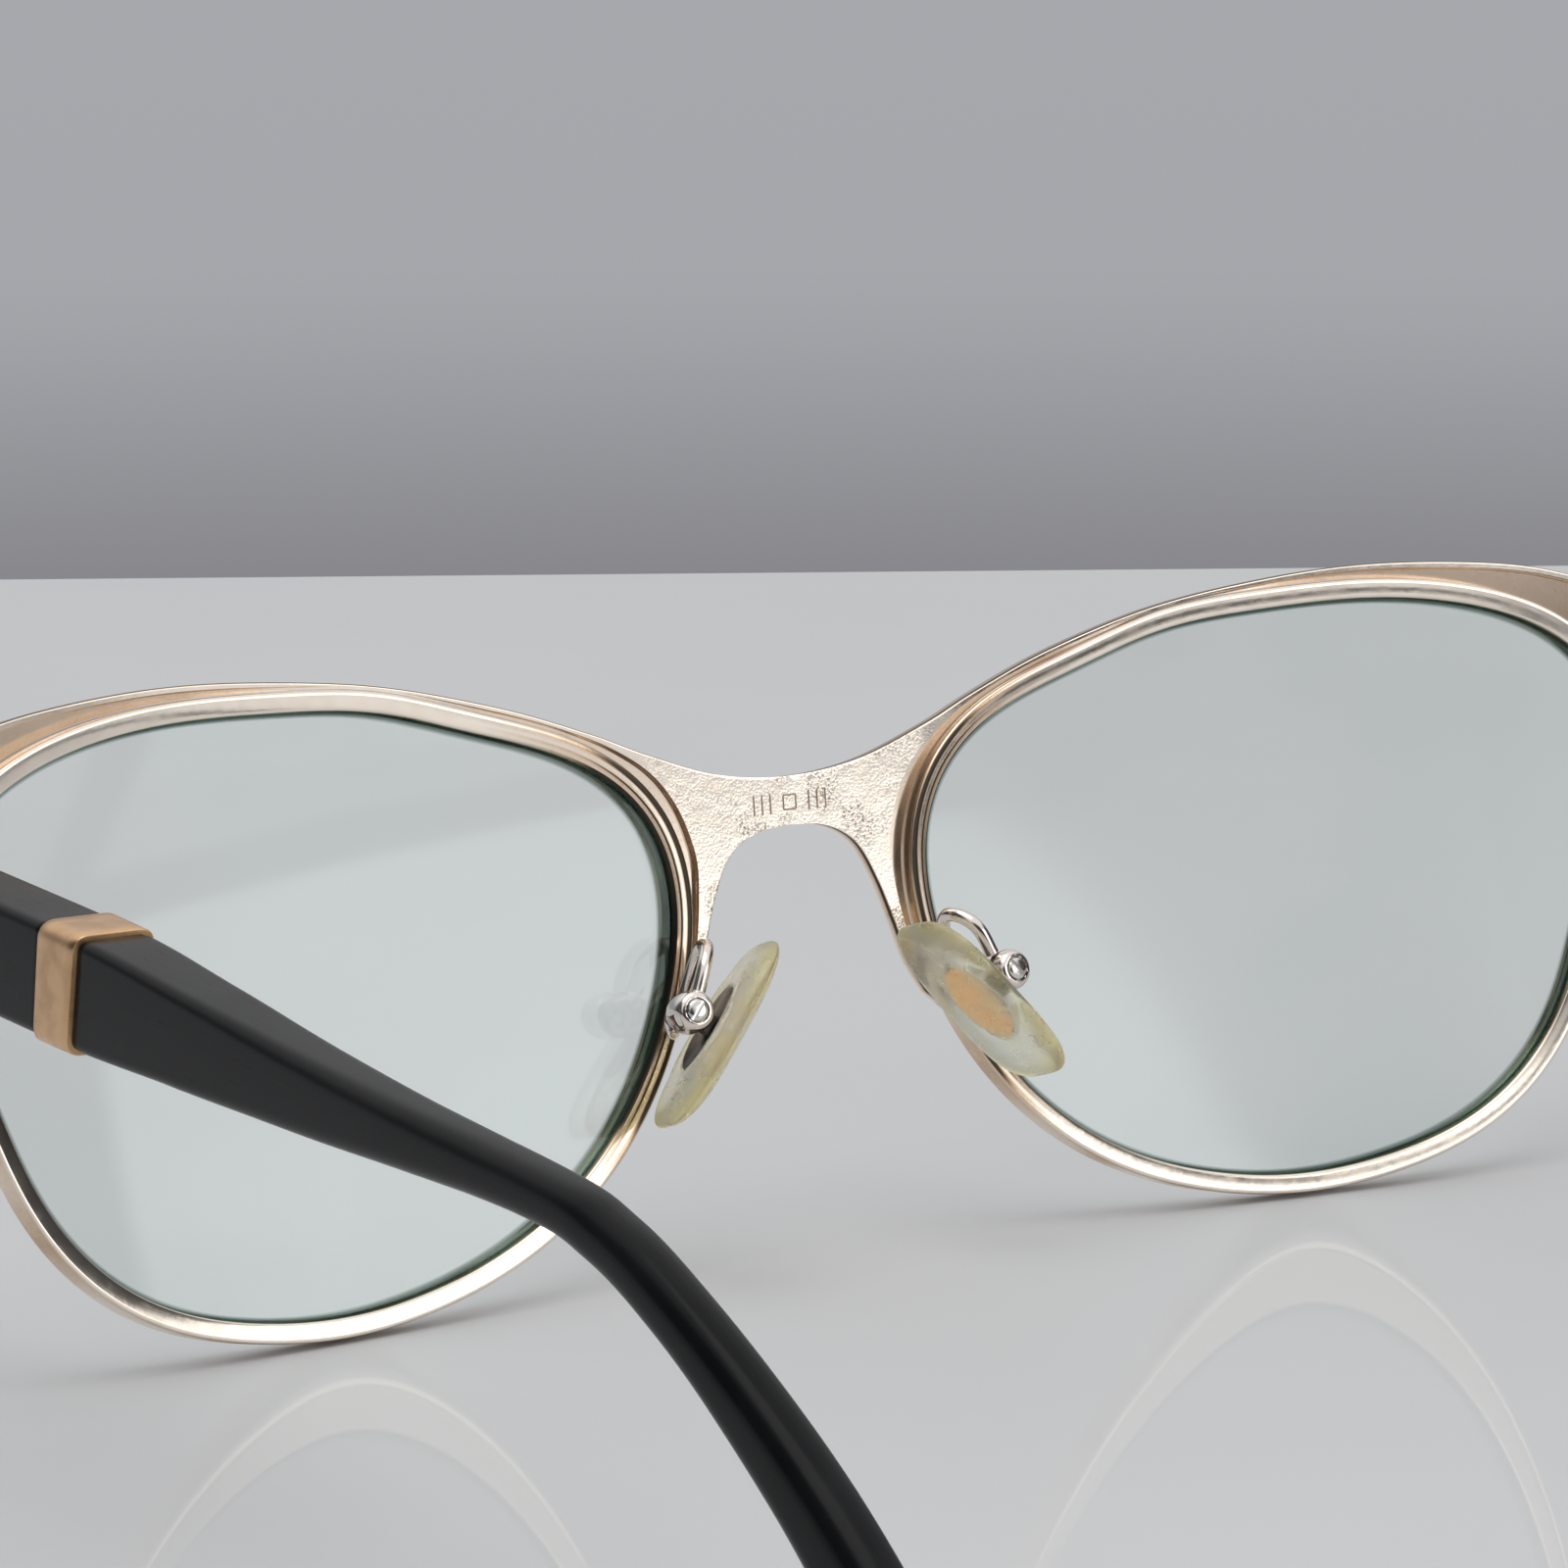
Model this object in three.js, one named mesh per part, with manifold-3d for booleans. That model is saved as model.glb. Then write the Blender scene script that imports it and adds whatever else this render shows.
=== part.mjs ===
// Full-rim metal eyeglasses with a stamped brow-and-bridge plate, acetate temples and screwed nose pads.
// Millimetres. +Z is up, the front faces -Y, the temples run back along +Y and +X is the wearer's left.
// The glasses stand open on the two rims and the two temple tips. The origin is at the bottom centre.
import * as THREE from "three";
import { mergeVertices } from "three/addons/utils/BufferGeometryUtils.js";
import Module from "manifold-3d";

// ---- Driving dimensions ----

const EYE_WIDTH = 53; // boxed lens width, groove to groove
const EYE_HEIGHT = 37.4; // boxed lens height
const BRIDGE_WIDTH = 17; // distance between the lenses, groove to groove
const WRAP = THREE.MathUtils.degToRad(4.8); // each lens is turned back by this much at the temple side
const TILT = THREE.MathUtils.degToRad(11.4); // the front leans, its top forward
const BASE_RADIUS = 122; // radius of the lens curve

const GROOVE_DEPTH = 0.5;
const WIRE_WIDTH = 1.25; // rim wire, measured away from the lens
const WIRE_DEPTH = 1.9; // rim wire, front to back
const LENS_THICKNESS = 1.2;

const PLATE_THICKNESS = 1.0; // the stamped plate with its raised edge
const PLATE_POCKET = 0.45; // depth of the hollow between the raised edge and the rim
const PLATE_LIP = 0.45; // width of the raised edge
const PLATE_SETBACK = 0.35; // how far the plate's back lies in front of the rim's back at the bridge
const PLATE_LAG = 0.75; // the extra distance by the temple end
const BRIDGE_TOP = 11.0; // top edge of the bridge over the lens centre line
const BRIDGE_ARCH = 7.95; // underside of the bridge over the lens centre line
const WING_REACH = 7.3; // how far the plate runs out past the lens on the temple side

const ENDPIECE_REACH = 6.5; // how far the endpieces run out past the lenses
const ENDPIECE_HEIGHT = 5.8;
const LEG_THICKNESS = 2.4;
const ARM_THICKNESS = 1.9;
const TEMPLE_DROP = 6.5; // temple centre line below the top of the lens
const LEG_LENGTH = 4.8; // from the endpiece's arm back to the temple head

const TEMPLE_HEIGHT = 6.5;
const TEMPLE_THICKNESS = 4.4;
const TEMPLE_SHANK = 76; // straight length from the butt line to the ear bend
const BAND_START = 21; // decorative band, from the butt line
const BAND_WIDTH = 4.2;
const BAND_PROUD = 0.3;
const TIP_HEIGHT = 5.8;
const TIP_THICKNESS = 3;
const CORE_HEIGHT = 1.6;
const CORE_THICKNESS = 1.0;

const BARREL_RADIUS = 1.3;
const BARREL_HEIGHT = 1.4;
const HINGE_SCREW_RADIUS = 0.55;
const RIM_SCREW_RADIUS = 0.45;

const PAD_LENGTH = 13.4;
const PAD_WIDTH = 6.4;
const PAD_THICKNESS = 2.0;
const PAD_STANDOFF = 2.4; // pad middle to pad screw
const PAD_SHIFT = -0.6; // pad middle from the middle of its screw, along the screw
const BOX_RADIUS = 1.35;
const PAD_SCREW_RADIUS = 0.42;
const ARM_WIRE = 0.9; // diameter of the pad arm

// ---- Clearances ----

const SOLDER_GAP = 0.08; // between pieces that are soldered or pressed together
const LENS_GAP = 0.06; // lens bevel in its groove
const RUNNING_GAP = 0.08; // turning and sliding faces
const BUTT_GAP = 0.25; // temple head to endpiece
const CORE_GAP = 0.15; // core wire in the acetate

// ---- Materials ----

function finish(color, roughness, metalness) {
  return new THREE.MeshStandardMaterial({ color, roughness, metalness });
}

const GOLD = finish(0xd9b88c, 0.28, 1);
const STEEL = finish(0xc9bdb6, 0.25, 1);
const ACETATE = finish(0x17181a, 0.22, 0);
const PAD_PLASTIC = finish(0xe6dca6, 0.3, 0);
const LENS_MATERIAL = finish(0xdfeee9, 0.05, 0);

// ---- Solids ----

const wasm = await Module();
wasm.setup();

/** A closed geometry as a solid that can be joined and cut. */
function toSolid(geometry) {
  const bare = geometry.clone();
  bare.deleteAttribute("normal");
  bare.deleteAttribute("uv");
  const merged = mergeVertices(bare, 1e-4);
  return new wasm.Manifold(
    new wasm.Mesh({
      numProp: 3,
      vertProperties: merged.attributes.position.array,
      triVerts: new Uint32Array(merged.index.array),
    }),
  );
}

/** A solid as a geometry with normals. */
function toGeometry(solid) {
  const mesh = solid.getMesh();
  const geometry = new THREE.BufferGeometry();
  geometry.setAttribute("position", new THREE.BufferAttribute(mesh.vertProperties, 3));
  geometry.setIndex(new THREE.BufferAttribute(mesh.triVerts, 1));
  geometry.computeVertexNormals();
  return geometry;
}

const join = (first, ...rest) => toGeometry(rest.reduce((sum, g) => sum.add(toSolid(g)), toSolid(first)));
const cut = (first, ...rest) => toGeometry(rest.reduce((left, g) => left.subtract(toSolid(g)), toSolid(first)));

/**
 * A closed surface through rings of points. Each ring follows the same flat profile, which is used only
 * to close the two ends; a looped loft has no ends.
 */
function loft(rings, profile, looped = false) {
  const size = profile.length;
  const indices = [];
  const spans = looped ? rings.length : rings.length - 1;
  for (let i = 0; i < spans; i++) {
    const a = i * size;
    const b = ((i + 1) % rings.length) * size;
    for (let j = 0; j < size; j++) {
      const k = (j + 1) % size;
      indices.push(a + j, a + k, b + k, a + j, b + k, b + j);
    }
  }
  if (!looped) {
    const last = (rings.length - 1) * size;
    for (const [p, q, r] of THREE.ShapeUtils.triangulateShape(profile, [])) {
      indices.push(r, q, p, last + p, last + q, last + r);
    }
  }
  return facingOut(closedGeometry(rings.flat(), indices));
}

/** A geometry from points and triangles, without the triangles that have no area. */
function closedGeometry(points, indices) {
  const same = (a, b) => points[a].distanceToSquared(points[b]) < 1e-10;
  const kept = [];
  for (let i = 0; i < indices.length; i += 3) {
    const [a, b, c] = indices.slice(i, i + 3);
    if (!same(a, b) && !same(b, c) && !same(c, a)) kept.push(a, b, c);
  }
  return new THREE.BufferGeometry().setFromPoints(points).setIndex(kept);
}

/** The same geometry with its faces turned round if they point inwards. */
function facingOut(geometry) {
  const p = geometry.attributes.position;
  const index = geometry.index;
  const corner = [new THREE.Vector3(), new THREE.Vector3(), new THREE.Vector3()];
  let volume = 0;
  for (let i = 0; i < index.count; i += 3) {
    corner.forEach((v, k) => v.fromBufferAttribute(p, index.getX(i + k)));
    volume += corner[0].dot(corner[1].cross(corner[2]));
  }
  if (volume < 0) {
    for (let i = 0; i < index.count; i += 3) {
      const second = index.getX(i + 1);
      index.setX(i + 1, index.getX(i + 2));
      index.setX(i + 2, second);
    }
  }
  geometry.computeVertexNormals();
  return geometry;
}

/** A flat outline given thickness along +Z. */
function prism(points, depth) {
  const shape = new THREE.Shape(points.map(([x, y]) => new THREE.Vector2(x, y)));
  return new THREE.ExtrudeGeometry(shape, { depth, bevelEnabled: false, steps: 1 });
}

/** A cylinder standing on z = low along +Z. */
function rod(radius, low, high, sides = 16) {
  return new THREE.CylinderGeometry(radius, radius, high - low, sides)
    .rotateX(Math.PI / 2)
    .translate(0, 0, (low + high) / 2);
}

const box = (x0, x1, y0, y1, z0, z1) =>
  new THREE.BoxGeometry(x1 - x0, y1 - y0, z1 - z0).translate((x0 + x1) / 2, (y0 + y1) / 2, (z0 + z1) / 2);

/** A round-ended rod along Z from low to high, with a slotted head at its low end. */
function screw(radius, headRadius, headHeight, low, high) {
  const body = join(rod(headRadius, low - headHeight, low), rod(radius, low - 0.01, high));
  const slot = box(-headRadius - 1, headRadius + 1, -0.12, 0.12, low - headHeight - 1, low - headHeight / 2);
  return cut(body, slot);
}

// ---- The shape of the eye ----

const WIDTH_SCALE = EYE_WIDTH / 53;
const HEIGHT_SCALE = EYE_HEIGHT / 37.4;
const LENS_X = (EYE_WIDTH + BRIDGE_WIDTH) / 2;
const LENS_EDGE = LENS_X + EYE_WIDTH / 2;
const OUTER_X = LENS_EDGE + ENDPIECE_REACH;
const TEMPLE_RISE = EYE_HEIGHT / 2 - TEMPLE_DROP;
// Distance from the lens centre to the rim's inner lip, every 22.5 degrees from the temple side over the top.
const UPPER_RADII = [23.8, 27.6, 23.8, 19.7, 18.1, 18.8, 21.2, 26.1];
const LOWER_RADII = [25.1, 22.6, 20.3, 18.6, 18.2, 19.0, 21.0, 22.3];

/** A smooth closed curve through evenly spaced values, as a function of an angle. */
function periodicSpline(values) {
  const n = values.length;
  const step = (2 * Math.PI) / n;
  const at = (list, i) => list[((i % n) + n) % n];
  const rises = values.map((_, i) => (3 * (at(values, i + 1) - at(values, i - 1))) / step);
  let slopes = rises.map((r) => r / 6);
  for (let pass = 0; pass < 40; pass++) {
    slopes = slopes.map((_, i) => (rises[i] - at(slopes, i - 1) - at(slopes, i + 1)) / 4);
  }
  return (angle) => {
    const place = angle / step;
    const i = Math.floor(place);
    const t = place - i;
    const h00 = 2 * t ** 3 - 3 * t ** 2 + 1;
    const h10 = t ** 3 - 2 * t ** 2 + t;
    const h11 = t ** 3 - t ** 2;
    const bend = h10 * at(slopes, i) + h11 * at(slopes, i + 1);
    return h00 * at(values, i) + (1 - h00) * at(values, i + 1) + step * bend;
  };
}

const lipRadius = periodicSpline([...UPPER_RADII, ...LOWER_RADII]);

/** The lip's point at an angle, moved outwards by offset, in the plane of the lens. */
function eyeOutline(angle, offset = 0) {
  const point = (a) =>
    new THREE.Vector2(lipRadius(a) * Math.cos(a) * WIDTH_SCALE, lipRadius(a) * Math.sin(a) * HEIGHT_SCALE);
  const along = point(angle + 1e-3).sub(point(angle - 1e-3)).normalize();
  return point(angle).add(new THREE.Vector2(along.y, -along.x).multiplyScalar(offset));
}

/** A point of the left eye: (u, v) across the lens, w backwards from the rim's back lip. */
function eyePoint(u, v, w) {
  const local = new THREE.Vector3(u, (u * u + v * v) / (2 * BASE_RADIUS) + w, v);
  return local.applyAxisAngle(new THREE.Vector3(0, 0, 1), WRAP).add(new THREE.Vector3(LENS_X, 0, 0));
}

/** The rim's back surface carried on over the whole front, as a depth at (x, z). */
function rimDepth(x, z) {
  const u = (Math.abs(x) - LENS_X) / Math.cos(WRAP);
  return u * Math.sin(WRAP) + (u * u + z * z) / (2 * BASE_RADIUS);
}

const smooth = (t) => t * t * (3 - 2 * t);

/** Depth of the plate's back surface: level across the bridge, then along the rims and a little in front. */
function plateDepth(x, z) {
  const edge = 0.4 * LENS_X;
  const away = Math.abs(x);
  const lag = PLATE_LAG * Math.min(1, Math.max(0, (away - 0.85 * LENS_X) / (0.85 * LENS_X)));
  if (away >= edge) return rimDepth(away, z) - PLATE_SETBACK - lag;
  const slope = (rimDepth(edge + 0.01, z) - rimDepth(edge - 0.01, z)) / 0.02;
  const t = away / edge;
  return rimDepth(edge, z) - PLATE_SETBACK + slope * edge * (t ** 3 - t ** 2);
}

// ---- Rims and lenses ----

const LOCK_ANGLE = THREE.MathUtils.degToRad(8); // where each rim is split for its lens
const LOCK_SLIT = 0.3;
const RIM_STEPS = 48;
const SLIT_HALF_ANGLE = LOCK_SLIT / 2 / eyeOutline(LOCK_ANGLE).length();
const RIM_ANGLES = Array.from(
  { length: RIM_STEPS + 1 },
  (_, i) => LOCK_ANGLE + SLIT_HALF_ANGLE + (i / RIM_STEPS) * 2 * (Math.PI - SLIT_HALF_ANGLE),
);

/** The rim wire's section: how far out from the lip, and how far back. */
const WIRE_SECTION = [
  [0, 0.02],
  [0, -0.45],
  [GROOVE_DEPTH + LENS_GAP, -0.8],
  [GROOVE_DEPTH + LENS_GAP, -1.1],
  [0, -1.45],
  [0, -WIRE_DEPTH],
  [WIRE_WIDTH - 0.2, -WIRE_DEPTH],
  [WIRE_WIDTH, -WIRE_DEPTH + 0.2],
  [WIRE_WIDTH, -0.25],
  [WIRE_WIDTH - 0.25, 0.02],
];

/** Points of a section [outwards, backwards] standing on the rim at an angle. */
function rimRing(section, angle) {
  return section.map(([out, back]) => {
    const { x, y } = eyeOutline(angle, out);
    return eyePoint(x, y, back);
  });
}

const flat = (section) => section.map(([x, y]) => new THREE.Vector2(x, y));

function eyewire() {
  return loft(RIM_ANGLES.map((angle) => rimRing(WIRE_SECTION, angle)), flat(WIRE_SECTION));
}

/** The space that the rim wire takes in its neighbours. */
function rimSpace() {
  const wall = WIRE_WIDTH + SOLDER_GAP;
  const section = [
    [-2, 2],
    [-2, -6],
    [wall, -6],
    [wall, 2],
  ];
  return loft(RIM_ANGLES.map((angle) => rimRing(section, angle)), flat(section));
}

/** The lens: two curved faces and a bevel that seats in the rim's groove. */
function lens() {
  const back = -0.35;
  const front = back - LENS_THICKNESS;
  const edge = -0.12;
  const bevel = GROOVE_DEPTH - LENS_GAP;
  const section = [
    [0, 0, front],
    [0.55, 0, front],
    [1, edge, front],
    [1, edge, -1.25],
    [1, bevel, -1.02],
    [1, bevel, -0.88],
    [1, edge, -0.65],
    [1, edge, back],
    [0.55, 0, back],
    [0, 0, back],
  ];
  const rings = RIM_ANGLES.map((angle) =>
    section.map(([share, out, w]) => {
      const { x, y } = eyeOutline(angle, out);
      return eyePoint(x * share, y * share, w);
    }),
  );
  return loft(rings, flat(section), true);
}

/** A place beside the rim at the lock: outwards, along the rim (up) and back. */
function lockPlace(out, along, back) {
  const here = eyeOutline(LOCK_ANGLE, out);
  const ahead = eyeOutline(LOCK_ANGLE + 1e-3, out).sub(eyeOutline(LOCK_ANGLE - 1e-3, out)).normalize();
  return eyePoint(here.x + ahead.x * along, here.y + ahead.y * along, back);
}

const LOCK_BLOCK = 2.0; // height of each lock block
const LOCK_WIDTH = 2.0;

/** Moves a geometry modelled at the origin (X outwards, Y back, Z along the rim) to the lock. */
function atLock(geometry) {
  const middle = lockPlace(WIRE_WIDTH + 2 * SOLDER_GAP + LOCK_WIDTH / 2, 0, -WIRE_DEPTH / 2);
  const up = lockPlace(0, 1, 0).sub(lockPlace(0, 0, 0)).normalize();
  const out = lockPlace(1, 0, 0).sub(lockPlace(0, 0, 0)).normalize();
  const back = new THREE.Vector3().crossVectors(up, out);
  return geometry.applyMatrix4(new THREE.Matrix4().makeBasis(out, back, up).setPosition(middle));
}

/** One half of the closing block; side is +1 for the upper half and -1 for the lower. */
function rimLock(side) {
  const low = side > 0 ? LOCK_SLIT / 2 : -LOCK_SLIT / 2 - LOCK_BLOCK;
  const half = LOCK_WIDTH / 2;
  const block = box(-half, half, -0.95, 0.95, low, low + LOCK_BLOCK);
  return atLock(cut(block, rod(RIM_SCREW_RADIUS + RUNNING_GAP, low - 1, low + LOCK_BLOCK + 1, 12)));
}

function rimScrew() {
  const seat = -LOCK_SLIT / 2 - LOCK_BLOCK - SOLDER_GAP;
  return atLock(screw(RIM_SCREW_RADIUS, 0.8, 0.5, seat, LOCK_BLOCK - 0.1));
}

// ---- The brow-and-bridge plate ----


/** Top edge of the plate, from the middle of the bridge out to the wing, as (x, z). */
function plateTop() {
  const rise = (z) => z * HEIGHT_SCALE;
  const nose = LENS_X - EYE_WIDTH / 2;
  const across = (x) => (x < 8.5 ? (x / 8.5) * nose : nose + ((x - 8.5) / 53) * EYE_WIDTH);
  return [
    [0, BRIDGE_TOP],
    [5, BRIDGE_TOP + 0.55],
    [10, BRIDGE_TOP + 2.25],
    [14, rise(14.95)],
    [20, rise(17.1)],
    [28, rise(19.1)],
    [36, rise(20.1)],
    [43, rise(20.42)],
    [50, rise(20.0)],
    [56, rise(19.05)],
    [61.5, rise(17.15)],
  ].map(([x, z]) => [across(x), z]);
}

/** The wing's rounded end, from the top edge back to the rim. */
function plateWing() {
  const across = (share) => LENS_EDGE + share * WING_REACH;
  const rise = (z) => z * HEIGHT_SCALE;
  return [
    [across(0.5), rise(15.5)],
    [across(0.8), rise(13.9)],
    [across(0.86), rise(12.2)],
    [across(0.72), rise(10.6)],
    [across(0.4), rise(9.3)],
  ];
}

/** The bridge's underside and the nasal strip's inner edge, from the strip's tip up to the middle. */
function plateArch() {
  const nose = LENS_X - EYE_WIDTH / 2;
  return [
    [nose + 0.2, -3.5 * HEIGHT_SCALE],
    [nose - 0.9, -1.4 * HEIGHT_SCALE],
    [nose - 1.7, 1.2],
    [nose - 2.6, BRIDGE_ARCH - 4.1],
    [nose - 3.7, BRIDGE_ARCH - 1.9],
    [nose - 5.0, BRIDGE_ARCH - 0.75],
    [nose - 6.6, BRIDGE_ARCH - 0.15],
    [0, BRIDGE_ARCH],
  ];
}

/** Points along a smooth curve through [x, z] pairs. */
function smoothLine(points, count) {
  const curve = new THREE.SplineCurve(points.map(([x, z]) => new THREE.Vector2(x, z)));
  return curve.getSpacedPoints(count).map(({ x, y }) => [x, y]);
}

/** A line moved sideways by a distance, to its right as it runs. */
function offsetLine(line, distance) {
  return line.map(([x, z], i) => {
    const [x0, z0] = line[Math.max(0, i - 1)];
    const [x1, z1] = line[Math.min(line.length - 1, i + 1)];
    const length = Math.hypot(x1 - x0, z1 - z0);
    return [x + ((z1 - z0) / length) * distance, z - ((x1 - x0) / length) * distance];
  });
}

/** The rim's outer edge in the plane of the front, from one angle to another. */
function besideRim(offset, from, to, count) {
  const line = [];
  for (let i = 0; i <= count; i++) {
    const { x, y } = eyeOutline(from + ((to - from) * i) / count, offset);
    const p = eyePoint(x, y, -WIRE_DEPTH / 2);
    line.push([p.x, p.z]);
  }
  return line;
}

const WING_ANGLE = THREE.MathUtils.degToRad(17);
const STRIP_ANGLE = THREE.MathUtils.degToRad(190);

/** Bends a flat extrusion over (x, z) onto the plate's surface; its depth runs forwards from `back`. */
function bendToPlate(outline, back, depth) {
  const geometry = prism(outline, depth);
  const p = geometry.attributes.position;
  for (let i = 0; i < p.count; i++) {
    const [x, z, inwards] = [p.getX(i), p.getY(i), p.getZ(i)];
    p.setXYZ(i, x, plateDepth(x, z) + back - inwards, z);
  }
  return facingOut(mergeVertices(withoutShading(geometry), 1e-4));
}

function withoutShading(geometry) {
  geometry.deleteAttribute("normal");
  geometry.deleteAttribute("uv");
  return geometry;
}

const mirrored = (line) => line.map(([x, z]) => [-x, z]).reverse();

function frontPlate() {
  const top = smoothLine([...plateTop(), ...plateWing()], 30);
  const rim = besideRim(WIRE_WIDTH / 2, WING_ANGLE, STRIP_ANGLE, 24);
  const arch = smoothLine(plateArch(), 14);
  const half = [...top, ...rim, ...arch];
  const body = bendToPlate([...half.slice(1), ...mirrored(half).slice(1)], 0, PLATE_THICKNESS);
  const nose = LENS_X - EYE_WIDTH / 2;
  const topInner = offsetLine(top, PLATE_LIP).filter(([x]) => x > nose + 0.25);
  const archInner = offsetLine(arch, PLATE_LIP).filter(([x]) => x > nose - 1.85);
  const rimInner = besideRim(0.2, WING_ANGLE, STRIP_ANGLE - 0.04, 24);
  const pocket = bendToPlate([...topInner, ...rimInner, ...archInner], 1, 1 + PLATE_POCKET);
  const hollows = [pocket, rimSpace()];
  return cut(body, ...hollows, ...hollows.map((g) => facingOut(g.clone().scale(-1, 1, 1))));
}

// ---- Nose pads, modelled at the pad screw: X down the pad, Y along the screw, Z away from the nose ----

const PAD_SCREW_AT = new THREE.Vector3(LENS_X - 23.6, 4.9, -2.6);
const PAD_AXIS = new THREE.Vector3(0.64, 0.01, -0.77).normalize();
const PAD_SPLAY = THREE.MathUtils.degToRad(10);
const PAD_POCKET = [3.2, 1.8]; // half length and half width of the hollow for the metal insert
const INSERT_THICKNESS = 0.5;
const PAD_FLOOR = 0.9 * (PAD_THICKNESS / 2) - INSERT_THICKNESS - SOLDER_GAP - PAD_STANDOFF; // of that hollow
const TONGUE_THICKNESS = 0.9;

/** The pad's own directions in the front's frame. */
function padBasis() {
  const level = new THREE.Vector3().crossVectors(PAD_AXIS, new THREE.Vector3(0, 1, 0)).normalize();
  const screwAxis = new THREE.Vector3().crossVectors(level, PAD_AXIS).applyAxisAngle(PAD_AXIS, PAD_SPLAY);
  const outwards = new THREE.Vector3().crossVectors(PAD_AXIS, screwAxis);
  return new THREE.Matrix4().makeBasis(PAD_AXIS, screwAxis, outwards).setPosition(PAD_SCREW_AT);
}

/** A pad-shaped solid: an oval cushion with a crowned face, its middle at z = middle. */
function ovalCushion(length, width, thickness, middle) {
  const shares = [0, 0.6, 0.9, 1, 0.95, 0.8, 0];
  const heights = [-1, -0.92, -0.55, 0, 0.5, 0.85, 0.9];
  const rings = [];
  const steps = 24;
  for (let i = 0; i < steps; i++) {
    const angle = (i / steps) * 2 * Math.PI;
    const x = (length / 2) * Math.cos(angle);
    const y = (width / 2) * Math.sin(angle) * (1 + 0.06 * Math.cos(angle));
    rings.push(shares.map((s, k) => new THREE.Vector3(x * s, y * s, middle + (heights[k] * thickness) / 2)));
  }
  return loft(rings, shares.map((_, k) => new THREE.Vector2(k, 0)), true);
}

/** An upright oval prism. */
function ovalPrism(halfLength, halfWidth, low, high) {
  return rod(1, low, high, 20).scale(halfLength, halfWidth, 1);
}

function nosePad() {
  const cushion = ovalCushion(PAD_LENGTH, PAD_WIDTH, PAD_THICKNESS, -PAD_STANDOFF);
  return cut(cushion, ovalPrism(PAD_POCKET[0], PAD_POCKET[1], PAD_FLOOR, 0)).translate(0, PAD_SHIFT, 0);
}

/** The metal insert in the pad with the tongue that the pad screw passes through. */
function padMount() {
  const low = PAD_FLOOR + SOLDER_GAP;
  const gap = 2 * SOLDER_GAP;
  const oval = ovalPrism(PAD_POCKET[0] - gap, PAD_POCKET[1] - gap, low, low + INSERT_THICKNESS);
  const insert = oval.translate(0, PAD_SHIFT, 0);
  const half = TONGUE_THICKNESS / 2;
  const stem = box(-0.6, 0.6, -half, half, low + 0.1, 0);
  const eye = rod(0.9, -half, half).rotateX(Math.PI / 2);
  const bore = rod(PAD_SCREW_RADIUS + RUNNING_GAP, -2, 2).rotateX(Math.PI / 2);
  return cut(join(insert, stem, eye), bore);
}

/** The barrel-shaped box that holds the pad's tongue between its cheeks. */
function padBox() {
  const profile = [
    [0, -1.2],
    [0.95, -1.2],
    [1.25, -0.85],
    [BOX_RADIUS, 0],
    [1.25, 0.95],
    [1.0, 1.3],
    [0, 1.3],
  ].map(([r, y]) => new THREE.Vector2(r, y));
  const barrel = new THREE.LatheGeometry(profile, 16);
  const half = TONGUE_THICKNESS / 2 + RUNNING_GAP;
  const slot = box(-3, 3, -half, half, -3, 1.0);
  const bore = rod(PAD_SCREW_RADIUS + RUNNING_GAP, -3, 3).rotateX(Math.PI / 2);
  const seat = rod(0.78, -3, -0.95).rotateX(Math.PI / 2);
  return cut(barrel, slot, bore, seat);
}

/** The pad screw; its slotted head sits in the box on the wearer's side. */
function padScrew() {
  const seat = 0.95 + SOLDER_GAP;
  return screw(PAD_SCREW_RADIUS, 0.7, 0.45, -seat, 1.15).rotateX(Math.PI / 2);
}

/** The bent wire from the back of the rim, up and over to the pad box, in the front's frame. */
function padArm() {
  const rootAngle = THREE.MathUtils.degToRad(187);
  const seat = (along, back) => {
    const { x, y } = eyeOutline(rootAngle + along, WIRE_WIDTH / 2);
    return eyePoint(x, y, back);
  };
  const radius = ARM_WIRE / 2;
  const noseSide = PAD_SCREW_AT.x - 2.4;
  const end = new THREE.Vector3(-1, 0, 0.15).setLength(BOX_RADIUS + SOLDER_GAP).applyMatrix4(padBasis());
  const path = new THREE.CatmullRomCurve3([
    seat(0.03, radius + SOLDER_GAP),
    seat(-0.06, radius + SOLDER_GAP + 0.15),
    new THREE.Vector3(noseSide - 0.1, 2.4, 0.9),
    new THREE.Vector3(noseSide + 0.1, 3.7, 1.2),
    new THREE.Vector3(noseSide + 0.9, 4.7, 0.3),
    end,
  ]);
  const circle = new THREE.Shape().absarc(0, 0, radius, 0, 2 * Math.PI);
  const wire = new THREE.ExtrudeGeometry(circle, {
    steps: 14,
    curveSegments: 4,
    extrudePath: path,
    bevelEnabled: false,
  });
  return facingOut(mergeVertices(withoutShading(wire), 1e-4));
}

// ---- Endpieces and hinges, level with the temples ----

const TEMPLE_PROUD = 0.2; // the temple's outer face past the endpiece
const TEMPLE_OUTER_X = OUTER_X + TEMPLE_PROUD;
const TEMPLE_INNER_X = TEMPLE_OUTER_X - TEMPLE_THICKNESS;
const HINGE_X = TEMPLE_INNER_X - BARREL_RADIUS - 0.15;

/** The plate's back surface in the level frame, at its furthest back over the endpiece's height. */
function behindPlate(x) {
  const depths = [9, 11, 13, 15, 17].map((v) => {
    const z = v * HEIGHT_SCALE;
    return plateDepth(x, z) * Math.cos(TILT) - z * Math.sin(TILT);
  });
  return Math.max(...depths);
}

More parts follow.
